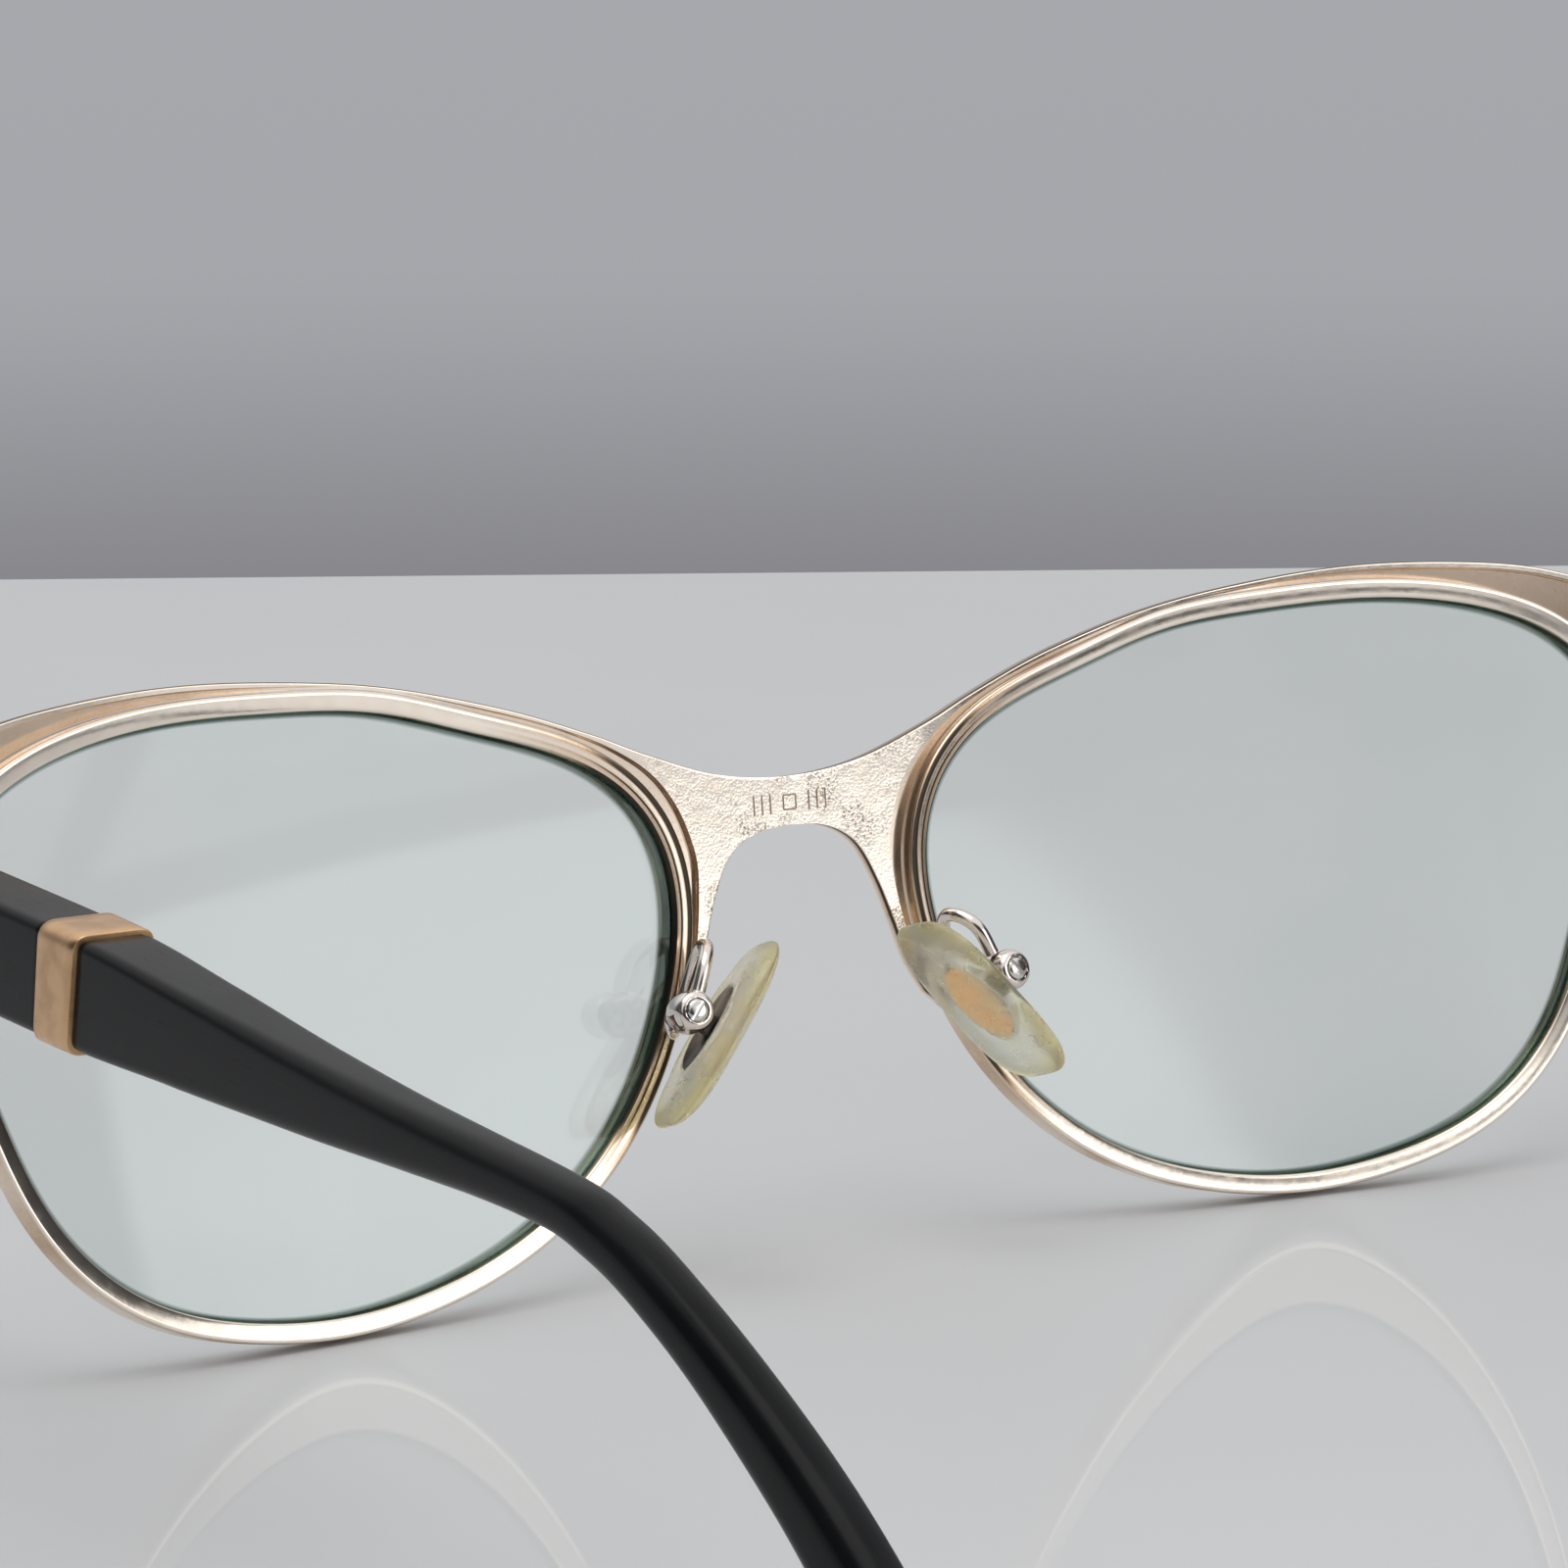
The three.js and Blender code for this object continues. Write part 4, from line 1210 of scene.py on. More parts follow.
@dataclass
class BrowPlate:
    """The stamped plate: a raised outer edge, a hollow along the rims and a flat grained bridge."""

    eye: Eye
    thickness: float = 1.0
    hollow: float = 0.45
    edge: float = 0.45
    setback: float = 0.35
    lag: float = 0.75
    top: float = 11.0
    arch: float = 7.95
    wing: float = 7.3
    rim_gap: float = 0.08
    first: float = math.radians(17)
    last: float = math.radians(190)
    back_round: float = 0.13
    front_round: float = 0.16
    mark_height: float = 9.35

    def depth(self, x: Array, z: Array) -> Array:
        """Depth of the plate's back at (x, z): behind the rims, and smooth across the bridge.

        Args:
            x: Places across.
            z: Heights.

        Returns:
            The depths.
        """
        eye = self.eye
        away = np.abs(x)
        near = 0.4 * eye.lens_x
        lag = self.lag * np.clip((away - 0.85 * eye.lens_x) / (0.85 * eye.lens_x), 0, 1)
        outer = eye.rim_depth(away, z) - self.setback - lag
        slope = (eye.rim_depth(near + 0.01, z) - eye.rim_depth(near - 0.01, z)) / 0.02
        t = away / near
        inner = eye.rim_depth(near, z) - self.setback + slope * near * (t**3 - t**2)
        return np.where(away >= near, outer, inner)

    def top_line(self) -> list[tuple[float, float]]:
        """The upper edge, from the middle line to the wing's lower end.

        Returns:
            Points (x, z).
        """
        edge = self.eye.edge_x
        across = [(0.5, 15.5), (0.8, 13.9), (0.86, 12.2), (0.72, 10.6), (0.4, 9.3)]
        return [
            (0, self.top), (5, self.top + 0.55), (10, self.top + 2.25), (14, 14.95), (20, 17.1), (28, 19.1),
            (36, 20.1), (43, 20.42), (50, 20.0), (56, 19.05), (edge, 17.15),
            *[(edge + share * self.wing, z) for share, z in across],
        ]  # fmt: skip

    def arch_line(self) -> list[tuple[float, float]]:
        """The arch over the nose, from the middle line to the nasal strip's tip.

        Returns:
            Points (x, z).
        """
        nose, arch = self.eye.nose_x, self.arch
        return [
            (0, arch), (nose - 6.6, arch - 0.15), (nose - 5.0, arch - 0.75), (nose - 3.7, arch - 1.9),
            (nose - 2.6, arch - 4.1), (nose - 1.7, 1.2), (nose - 0.9, -1.4), (nose + 0.2, -3.5),
        ]  # fmt: skip

    def boundary(self) -> tuple[Array, Array]:
        """The left half's outer boundary from the wing to the nasal strip's tip.

        Returns:
            Points (x, z), and 1 for each that is on the middle line, else 0.
        """
        over = self.level_start(self.top_line(), 400)[::-1]
        under = self.level_start(self.arch_line(), 120)
        start = self.rim_points(np.array([self.first]))
        end = self.rim_points(np.array([self.last]))
        lead_in = evenly(np.vstack([start, over[:1]]), np.linspace(0, 1, 9))[:-1]
        middle = evenly(np.vstack([over[-1:], under[:1]]), np.linspace(0, 1, 14))
        lead_out = evenly(np.vstack([under[-1:], end]), np.linspace(0, 1, 4))[1:]
        line = np.vstack([lead_in, over[:-1], middle, under[1:], lead_out])
        return line, (np.abs(line[:, 0]) < 1e-6).astype(float)

    @staticmethod
    def level_start(points: Sequence[tuple[float, float]], count: int) -> Array:
        """A curve through points, the first on the middle line, which it leaves level.

        Args:
            points: The points (x, z).
            count: How many points the curve gets on both sides of the middle line.

        Returns:
            The curve from the middle line on.
        """
        x, z = points[1]
        line = catmull(np.array([(-x, z), *points], float), count)
        return np.vstack([points[:1], line[line[:, 0] > 0.02]])

    def fan(self, outer: Array, polar: Array) -> Array:
        """Spreads the rows under the bridge, where the arch runs along them.

        Args:
            outer: The outer boundary.
            polar: The angle of each of its points from the lens's centre.

        Returns:
            The angle at which each row meets the rim.
        """
        spots = np.array([*self.top_line()[2::-1], *self.arch_line()[:-1]])
        turns = [0.0, -1.9, -2.6, -2.7, -0.74, 1.4, 2.8, 2.0, 0.45, 0.0]
        nearest = np.linalg.norm(outer[None] - spots[:, None], axis=2).argmin(axis=1)
        turned_by = np.interp(np.arange(len(outer)), nearest, np.radians(turns))
        return np.maximum.accumulate(polar + turned_by)

    def rim_points(self, angles: Array) -> Array:
        """Points of the plate's edge against the rim.

        Args:
            angles: Angles round the lens.

        Returns:
            Points (x, z).
        """
        out = self.eye.wire_width + self.rim_gap
        points = self.eye.sheet(self.eye.outline(angles, out), -self.eye.wire_depth / 2)
        return points[..., [0, 2]]

    def inner_ends(self, outer: Array, polar: Array) -> Array:
        """Where each row from the outer boundary meets the rim.

        Args:
            outer: The outer boundary.
            polar: The angle of each of its points from the lens's centre.

        Returns:
            Points (x, z).
        """
        fine = np.linspace(self.first - 0.1, self.last + 0.1, 4000)
        rim_line = self.rim_points(fine)
        rim_polar = np.unwrap(np.arctan2(rim_line[:, 1], rim_line[:, 0] - self.eye.lens_x))
        met = self.fan(outer, polar)
        return np.column_stack([np.interp(met, rim_polar, rim_line[:, k]) for k in range(2)])

    def half(self, side: Side) -> Solid:
        """One half of the plate, open along the middle line.

        Args:
            side: Left or right.

        Returns:
            Its points, faces and masks.
        """
        outer, centred = self.boundary()
        polar = np.unwrap(np.arctan2(outer[:, 1], outer[:, 0] - self.eye.lens_x))
        inner = self.inner_ends(outer, polar)
        length = np.maximum(np.linalg.norm(inner - outer, axis=1), 1e-3)
        toward = (inner - outer) / length[:, None]
        bridge = smoothstep(polar, math.radians(126), math.radians(156))
        lip = self.edge * np.tanh(0.62 * length / self.edge)
        flat = length - 1.15 * np.tanh(0.48 * length)
        lip = lip + bridge * (flat - lip)
        columns = self.columns(length, lip)
        xz = outer[:, None, :] + toward[:, None, :] * columns[..., None]
        x, z = xz[..., 0], xz[..., 1]
        sheet = self.depth(x, z)
        rise = self.rise(columns, length, lip, centred)
        fall = self.rounding(columns, length, centred, self.front_round)
        back = np.stack([x, sheet + rise, z], axis=-1)
        front = np.stack([x, sheet - self.thickness + fall, z], axis=-1)
        sunk = np.clip(-rise / self.hollow, 0, 1)
        # painted shade: a near-black line along the plate's outer edge, and browner painted shade in the
        # hollow along the rims, lighter under the bridge
        border = 1.3 * (1 - smoothstep(columns, 0.02, 0.10)) * (1 - centred[:, None])
        sand = (1 - smoothstep(np.abs(x), 6.5, 11.5)) * (1 - sunk)
        grime = np.maximum(0.55 * sunk * (1 - 0.4 * bridge[:, None]), border)
        points = self.eye.place_front(np.vstack([back.reshape(-1, 3), front.reshape(-1, 3)]), side)
        masks = {
            name: np.concatenate([values.reshape(-1), np.zeros(values.size)])
            for name, values in (("sand", sand), ("grime", grime))
        }
        return Solid(points, self.faces(*columns.shape, centred), masks)

    @staticmethod
    def faces(rows: int, count: int, centred: Array) -> list[tuple[int, ...]]:
        """Faces of the back grid, the front grid behind it in the list of points, and the edges between them.

        Args:
            rows: Rows of each grid.
            count: Points in each row.
            centred: 1 for rows that start on the middle line, where no edge face is made.

        Returns:
            The faces.
        """
        shift = rows * count
        faces: list[tuple[int, ...]] = []
        for i in range(rows - 1):
            for j in range(count - 1):
                a, b = i * count + j, (i + 1) * count + j
                faces.append((a, a + 1, b + 1, b))
                faces.append((shift + a, shift + b, shift + b + 1, shift + a + 1))
            a, b = i * count, (i + 1) * count
            if not (centred[i] and centred[i + 1]):
                faces.append((a, b, shift + b, shift + a))
            a, b = a + count - 1, b + count - 1
            faces.append((a, shift + a, shift + b, b))
        for low in (0, (rows - 1) * count):
            faces.append((*range(low, low + count), *reversed(range(shift + low, shift + low + count))))
        return faces

    @staticmethod
    def columns(length: Array, lip: Array) -> Array:
        """Distances from the outer edge of each row's points, close together where the surface turns.

        Args:
            length: Each row's length.
            lip: Where each row's hollow starts.

        Returns:
            Distances by row and column.
        """
        size = np.minimum(1, length / 1.2)
        start = np.array([0.0, 0.02, 0.05, 0.09, 0.15]) * size[:, None]
        step = np.minimum(0.14 * size, 0.2 * (length - lip))
        rise = lip[:, None] + np.linspace(0, 1, 6) * step[:, None]
        lead = start[:, -1:] + (rise[:, :1] - start[:, -1:]) * np.linspace(0, 1, 12)[1:-1]
        end = length[:, None] - np.array([0.09, 0.05, 0.02, 0.0]) * size[:, None]
        end = np.maximum(end, rise[:, -1:] + (length[:, None] - rise[:, -1:]) * np.linspace(0.7, 1, 4))
        run = rise[:, -1:] + (end[:, :1] - rise[:, -1:]) * np.linspace(0, 1, 8)[1:-1]
        return np.concatenate([start, lead, rise, run, end], axis=1)

    @staticmethod
    def rounding(columns: Array, length: Array, centred: Array, size: float) -> Array:
        """How far the surface falls towards the two edges of each row.

        Args:
            columns: Distances from the outer edge.
            length: Each row's length.
            centred: 1 for rows that start on the middle line.
            size: The rounding's radius.

        Returns:
            The fall by row and column.
        """
        near = np.where(centred[:, None] > 0, size, np.minimum(columns, size))
        far = np.minimum(length[:, None] - columns, size)
        drop = [size - np.sqrt(np.maximum(size**2 - (size - d) ** 2, 0)) for d in (near, far)]
        return np.maximum(*drop) * np.minimum(1, length / 0.8)[:, None]

    def rise(self, columns: Array, length: Array, lip: Array, centred: Array) -> Array:
        """Height of the back over the plate's sheet: the rounded edges and the hollow.

        Args:
            columns: Distances from the outer edge.
            length: Each row's length.
            lip: Where each row's hollow starts.
            centred: 1 for rows that start on the middle line.

        Returns:
            The height by row and column, 0 or less.
        """
        step = np.minimum(0.14 * np.minimum(1, length / 1.2), 0.2 * (length - lip))[:, None]
        hollow = smoothstep((columns - lip[:, None]) / np.maximum(step, 1e-6), 0, 1)
        shallow = smoothstep(length - lip, 0.12, 0.4)[:, None]
        fall = self.rounding(columns, length, centred, self.back_round) * (1 - hollow)
        return -self.hollow * hollow * shallow - fall

    def build(self) -> None:
        """Makes the plate from its two halves and dresses it, with its mark."""
        plate = joined([self.half(side) for side in Side])
        dress(make("brow_plate", plate, 40), GOLD, "gold", "front", "front_plate")
        self.build_mark()

    def build_mark(self) -> None:
        """The size mark: an outlined square between plain strokes, sunk in the bridge's back."""
        height, line, half, sunk = 1.25, 0.12, 0.45, 0.22
        corners = [(-half, -half), (-half, half), (half, half), (half, -half)]
        ends = list(zip(corners, corners[1:] + corners[:1]))
        ends += [((x, -height / 2), (x, height / 2)) for x in (-2.6, -2.0, -1.4, 1.4, 2.0, 2.6)]
        strokes = []
        for pair in ends:
            centre = evenly(np.array(pair) + np.array([0.0, self.mark_height]), np.linspace(0, 1, 9))
            depth = self.depth(centre[:, 0], centre[:, 1])
            stroke = tube(np.column_stack([centre[:, 0], depth, centre[:, 1]]), np.full(9, line / 2), 10)
            level = self.depth(stroke.points[:, 0], stroke.points[:, 2])
            stroke.points[:, 1] = level + (stroke.points[:, 1] - level) * sunk
            strokes.append(stroke.moved(lambda p: self.eye.place_front(p, Side.LEFT)))
        dress(make("size_mark", joined(strokes)), ENGRAVED, "gold", "front")


# ---------------------------------------------------------------------------------------------------------
# Nose pads


@dataclass
class NosePads:
    """The soft pads, their metal inserts, boxes, screws and bent arms."""

    eye: Eye
    length: float = 13.4
    width: float = 6.8
    thickness: float = 2.0
    standoff: float = 2.4
    shift: float = -0.6
    box_radius: float = 1.35
    screw_radius: float = 0.42
    arm_wire: float = 0.9
    splay: float = math.radians(10)
    pocket: tuple[float, float] = (3.2, 1.8)
    insert: float = 0.5
    tongue: float = 0.9
    gap: float = 0.08
    squareness: float = 0.6

    def __post_init__(self) -> None:
        """Finds the pad's own directions in the leaning front, and its levels."""
        self.screw_at = np.array([self.eye.lens_x - 23.6, 4.9, -2.6])
        down = Vector((0.64, 0.01, -0.77)).normalized()
        level = down.cross(Vector((0, 1, 0))).normalized()
        screw = Matrix.Rotation(self.splay, 3, down) @ level.cross(down)
        self.basis = np.array([down, screw, down.cross(screw)])
        self.top = 0.9 * self.thickness / 2 - self.standoff
        self.floor = self.top - self.insert - self.gap
        self.turn = np.linspace(0, 2 * np.pi, 64, endpoint=False)

    def at_pad(self, side: Side) -> Move:
        """Moves what is modelled at the pad's screw to its place.

        Args:
            side: Left or right.

        Returns:
            The move.
        """
        return lambda points: self.eye.place_front(points @ self.basis + self.screw_at, side)

    def at_screw(self, side: Side) -> Move:
        """Moves what is modelled along Z, its head down, to the pad's screw.

        Args:
            side: Left or right.

        Returns:
            The move.
        """
        at_pad = self.at_pad(side)
        return lambda points: at_pad(along_y(points * HEAD_UP))

    def oval(self, layers: Sequence[tuple[float, float]], size: Sequence[float], wave: Array | float) -> Solid:
        """An oval solid in the pad's hollow.

        Args:
            layers: The share of the size and the height of each ring.
            size: Half the length and half the width.
            wave: How the outline varies round it.

        Returns:
            The solid.
        """
        x, y = size[0] * wave * np.cos(self.turn), size[1] * wave * np.sin(self.turn)
        rings = [np.column_stack([s * x, s * y + self.shift, np.full(len(x), z)]) for s, z in layers]
        return loft(np.array(rings))

    def cushion(self, side: Side) -> bpy.types.Object:
        """The soft oval pad with the hollow for its insert.

        Args:
            side: Left or right.

        Returns:
            The piece.
        """
        angles = np.linspace(0, 2 * np.pi, 96, endpoint=False)
        turn = np.linspace(-np.pi / 2, np.pi / 2, 30)
        share = np.cos(turn) ** 0.62
        swing = np.abs(np.sin(turn))
        height = np.where(turn < 0, -(swing**1.15), 0.9 * swing**0.85)
        level = height * self.thickness / 2 - self.standoff
        profile = [(s, 0.0, z) for s, z in zip(share, level)][:-6]
        profile += [(0.35, 0.65, self.top), (0.02, 0.99, self.top), (0.0, 1.0, self.top - 0.05)]
        profile += [(0.0, 1.0, self.floor), (0.0, 0.6, self.floor), (0.0, 0.0, self.floor)]
        table = np.array(profile)
        outer = np.stack([np.cos(angles), np.sin(angles)], axis=1)
        outer = np.sign(outer) * np.abs(outer) ** self.squareness * np.array([self.length, self.width]) / 2
        outer[:, 1] *= 1 + 0.05 * np.cos(angles)
        inner = np.stack([self.pocket[0] * np.cos(angles), self.pocket[1] * np.sin(angles)], axis=1)
        xy = outer[:, None] * table[None, :, 0, None] + inner[:, None] * table[None, :, 1, None]
        z = np.broadcast_to(table[None, :, 2], xy.shape[:2])
        rings = np.concatenate([xy + np.array([0, self.shift]), z[..., None]], axis=-1)
        edge = np.linalg.norm(xy / (outer[:, None] + 1e-9) * 0.7071, axis=-1)
        masks = {"age": smoothstep(edge, 0.72, 1.0) * 0.9}
        solid = loft(rings, looped=True, masks=masks).moved(self.at_pad(side))
        return make(f"pad_cushion_{side.word}", solid, 50)

    def mount(self, side: Side) -> bpy.types.Object:
        """The oval metal insert with its tongue and eye.

        Args:
            side: Left or right.

        Returns:
            The piece.
        """
        low, tall = self.floor + self.gap, self.insert
        steps = [(0.93, 0.0), (0.99, 0.06), (1.0, 0.15), (1.0, tall - 0.15), (0.98, tall - 0.05), (0.93, tall)]
        size = [half - 2 * self.gap for half in self.pocket]
        move = self.at_pad(side)
        plate = self.oval([(share, low + z) for share, z in steps], size, 1.0)
        piece = make(f"pad_insert_{side.word}", plate.moved(move))
        half = self.tongue / 2
        stem = brick((-0.6, -half, low + 0.2), (0.6, half, 0.0)).moved(move)
        ring = turned([(0.8, -half), (0.9, -half + 0.1), (0.9, half - 0.1), (0.8, half)])
        carve(piece, [stem, ring.moved(along_y).moved(move)], Carve.JOIN)
        bore = turned([(self.screw_radius + 0.08, -2), (self.screw_radius + 0.08, 2)])
        return carve(piece, [bore.moved(along_y).moved(move)])

    def glue(self, side: Side) -> bpy.types.Object:
        """The thin amber layer between the insert and the pad.

        Args:
            side: Left or right.

        Returns:
            The piece.
        """
        wave = 0.9 + 0.035 * np.sin(3 * self.turn) + 0.02 * np.sin(7 * self.turn + 1)
        layers = [(0.9, 0.006), (1.0, 0.02), (1.0, 0.055), (0.95, 0.07)]
        solid = self.oval([(share, self.floor + z) for share, z in layers], self.pocket, wave)
        return make(f"pad_glue_{side.word}", solid.moved(self.at_pad(side)))

    def box(self, side: Side) -> bpy.types.Object:
        """The barrel-shaped box round the tongue.

        Args:
            side: Left or right.

        Returns:
            The piece.
        """
        move = self.at_pad(side)
        profile = [
            (0.72, -1.2), (0.95, -1.2), (1.06, -1.15), (1.2, -0.98), (1.28, -0.75),
            (self.box_radius - 0.02, -0.3), (self.box_radius, 0.05), (1.32, 0.5), (1.24, 0.9),
            (1.12, 1.16), (0.95, 1.28), (0.6, 1.3),
        ]  # fmt: skip
        piece = make(f"pad_barrel_{side.word}", turned(profile).moved(along_y).moved(move))
        half = self.tongue / 2 + self.gap
        slot = brick((-3, -half, -3), (3, half, 1.0)).moved(move)
        bore = turned([(self.screw_radius + 0.08, -3), (self.screw_radius + 0.08, 3)])
        seat = turned([(0.78, -3), (0.78, -0.95)]).moved(self.at_screw(side))
        carve(piece, [slot, bore.moved(along_y).moved(move), seat])
        return round_edges(piece, 0.05, 2)

    def arm(self, side: Side) -> bpy.types.Object:
        """The bent wire from the rim's back over to the box, a little thinner where it is soldered.

        Args:
            side: Left or right.

        Returns:
            The piece.
        """
        eye = self.eye
        radius = self.arm_wire / 2
        root = math.radians(187)

        def seat(along: float, back: float) -> Array:
            """A place over the rim's back, by its angle from the root and its distance behind."""
            return eye.sheet(eye.outline(np.array(root + along), eye.wire_width / 2), back)

        end = np.array([-1.0, 0.0, 0.15])
        end = end / np.linalg.norm(end) * (self.box_radius + 0.05)
        nose = self.screw_at[0] - 2.4
        knots = np.array([
            seat(0.03, radius + self.gap),
            seat(-0.06, radius + self.gap + 0.15),
            [nose - 0.1, 2.4, 0.9],
            [nose + 0.1, 3.7, 1.2],
            [nose + 0.9, 4.7, 0.3],
            end @ self.basis + self.screw_at,
        ])  # fmt: skip
        line = catmull(knots, 60)
        share = np.linspace(0, 1, len(line))
        radii = radius * (0.86 + 0.14 * smoothstep(share, 0.0, 0.12))
        solid = tube(line, radii, 28).moved(lambda p: eye.place_front(p, side))
        return make(f"pad_wire_{side.word}", solid, 60)

    def solder(self, side: Side) -> bpy.types.Object:
        """The bead of solder at the arm's root.

        Args:
            side: Left or right.

        Returns:
            The piece.
        """
        eye = self.eye
        turn = np.linspace(-np.pi / 2, np.pi / 2, 14)
        lumps = 1 + 0.05 * np.sin(turn * 5)
        ball = turned([(max(0.012, 0.62 * np.cos(a) * k), np.sin(a)) for a, k in zip(turn, lumps)], 32)
        angle = np.array(math.radians(187.5))
        at = eye.sheet(eye.outline(angle, eye.wire_width / 2), 0.1)
        flat = ball.moved(lambda p: p * np.array([0.9, 0.42, 1.0]) + at)
        return make(f"arm_solder_{side.word}", flat.moved(lambda p: eye.place_front(p, side)), 60)

    def build(self) -> None:
        """Makes and dresses everything on both sides."""
        fixing = Screw(radius=self.screw_radius, head=0.7, height=0.45, low=-1.03, high=1.15)
        for side in Side:
            word = side.word
            pad = f"nose_pad_{word}"
            dress(self.cushion(side), PAD, "pad_plastic", pad, f"nose_pad_{word}")
            dress(self.mount(side), DARK_METAL, "steel", pad, f"pad_mount_{word}")
            dress(self.glue(side), GLUE, "pad_plastic", pad)
            dress(self.box(side), ROSE, "steel", "front", f"pad_box_{word}")
            screw = fixing.build(f"pad_fixing_{word}", self.at_screw(side))
            dress(screw, STEEL, "steel", "front", f"pad_screw_{word}")
            dress(self.arm(side), ROSE, "steel", "front", f"pad_arm_{word}")
            dress(self.solder(side), ROSE, "steel", "front")


# ---------------------------------------------------------------------------------------------------------
# Endpieces, hinges and temples


@dataclass
class Sides:
    """The endpieces, hinges and temples, which are level."""

    eye: Eye
    plate: BrowPlate
    endpiece_reach: float = 6.5
    endpiece_height: float = 5.8
    leg: float = 2.4
    arm: float = 1.9
    leg_length: float = 4.8
    temple_drop: float = 6.5
    proud: float = 0.2
    height: float = 6.5
    thickness: float = 4.4
    shank: float = 76.0
    band_start: float = 21.0
    band_width: float = 4.2
    band_proud: float = 0.3
    tip_height: float = 5.8
    tip_thickness: float = 3.0
    barrel_radius: float = 1.3
    barrel_height: float = 1.4
    screw_radius: float = 0.55
    gap: float = 0.08
    butt_gap: float = 0.25
    pocket_depth: float = 0.8
    pocket_length: float = 8.6
    pocket_height: float = 3.4
    table_size: int = 801
    soften: int = 26

    def __post_init__(self) -> None:
        """Works out the places that follow from the sizes."""
        eye = self.eye
        self.outer = eye.edge_x + self.endpiece_reach
        self.rise = eye.height / 2 - self.temple_drop
        self.face = self.outer + self.proud
        self.inner = self.face - self.thickness
        self.hinge_x = self.inner - self.barrel_radius - 0.15
        self.arm_back = self.behind(self.outer) + self.gap + self.arm
        self.butt = self.arm_back + self.leg_length
        self.pocket_start = self.butt + 0.4
        self.pocket_end = self.pocket_start + self.pocket_length
        self.pin_at = np.array([self.hinge_x, self.butt, self.rise])
        tip = (self.tip_height, self.tip_thickness)
        self.sections = np.array([
            (0, self.height, self.thickness, 0.5, 0), (0.21, self.height, self.thickness, 0.5, 0),
            (0.3, 5.5, 4.0, 0.6, 0), (0.4, 4.6, 3.5, 0.8, 0), (0.5, 3.8, 3.1, 1.0, 0),
            (0.6, 3.2, 2.9, 1.2, 0.1), (0.7, 3.2, 2.9, 1.2, 0.4), (0.8, 4.2, 3, 1.3, 0.8),
            (0.9, 5.2, tip[1], 1.3, 1.3), (0.97, *tip, 1.3, 1.7), (1, *tip, 1.3, 1.8),
        ])  # fmt: skip
        self.smoothed = self.smooth_sections()
        self.settle()

    def smooth_sections(self) -> Array:
        """Smooths the chosen sections along the temple with a bell curve.

        Returns:
            Shares of the length, and the four numbers of the section at each.
        """
        shares = np.linspace(0, 1, self.table_size)
        reach = 60
        bell = np.exp(-0.5 * (np.arange(-reach, reach + 1) / self.soften) ** 2)
        table = np.array([self.step_section(share) for share in shares])
        table = np.pad(table, ((reach, reach), (0, 0)), mode="edge")
        smooth = [np.convolve(column, bell / bell.sum(), "valid") for column in table.T]
        return np.column_stack([shares, *smooth])

    def behind(self, x: float) -> float:
        """The plate's back at x in the level frame.

        Args:
            x: A place across.

        Returns:
            Its depth where it is furthest back over the endpiece's height.
        """
        z = np.array([9.0, 11.0, 13.0, 15.0, 17.0])
        depth = self.plate.depth(np.full(5, x), z)
        return float(np.max(depth * math.cos(self.eye.tilt) - z * math.sin(self.eye.tilt)))

    def draw_line(self, drop: float) -> None:
        """Draws the temple's centre line in (y, z).

        Args:
            drop: How far its end is below the hinge.
        """
        bend = self.butt + self.shank
        falls = [
            (-self.shank, 0), (-0.66 * self.shank, 0.012), (-0.33 * self.shank, 0.03), (-3, 0.035),
            (4.2, 0.07), (10.3, 0.15), (16.1, 0.255), (22.8, 0.405), (28.5, 0.575), (33.3, 0.76), (38.2, 1),
        ]  # fmt: skip
        self.line = catmull(np.array([(bend + a, self.rise - f * drop) for a, f in falls]), 900)
        steps = np.linalg.norm(np.diff(self.line, axis=0), axis=1)
        self.length = float(steps.sum())
        self.tangents = np.gradient(self.line, axis=0)
        self.tangents /= np.linalg.norm(self.tangents, axis=1)[:, None]

    def settle(self) -> None:
        """Lets the tip down onto the surface that the rims stand on."""
        table = -self.eye.offset[2]
        drop = self.rise - table
        for _ in range(12):
            self.draw_line(drop)
            drop += float(self.end_rings()[..., 2].min()) - table

    def section(self, share: float) -> Array:
        """Height, thickness, corner radius and inward curve, smoothed, at a share of the temple's length."""
        table = self.smoothed
        return np.array([np.interp(share, table[:, 0], table[:, k]) for k in range(1, 5)])

    def step_section(self, share: float) -> Array:
        """The same between the chosen sections, before smoothing.

        Args:
            share: A share of the temple's length.

        Returns:
            Height, thickness, corner radius and inward curve.
        """
        after = max(1, int(np.searchsorted(self.sections[:, 0], share)))
        after = min(after, len(self.sections) - 1)
        low, high = self.sections[after - 1], self.sections[after]
        return (low + smoothstep(share, low[0], high[0]) * (high - low))[1:]

    def ring(self, share: float, grow: float = 0.0, shrink: float = 1.0, step: float = 0.0) -> Array:
        """The temple's outline at a share of its length.

        Args:
            share: The share.
            grow: How far it is grown all round.
            shrink: What its size is multiplied by.
            step: How far it is moved on along the temple.

        Returns:
            Its points.
        """
        height, thickness, radius, inward = self.section(share)
        at = evenly(self.line, np.array([share]))[0]
        along = evenly(self.tangents, np.array([share]))[0]
        along /= np.linalg.norm(along)
        x, y = (thickness / 2 + grow) * shrink, (height / 2 + grow) * shrink
        corner = max(0.12, (radius + grow) * 1.35 * shrink)
        outline = rounded([(x, y, corner), (-x, y, corner), (-x, -y, corner), (x, -y, corner)], 8)
        middle = self.face - thickness / 2 - inward
        up = outline[:, 1]
        return np.column_stack([
            middle + outline[:, 0],
            at[0] - along[1] * up + along[0] * step,
            at[1] + along[0] * up + along[1] * step,
        ])  # fmt: skip

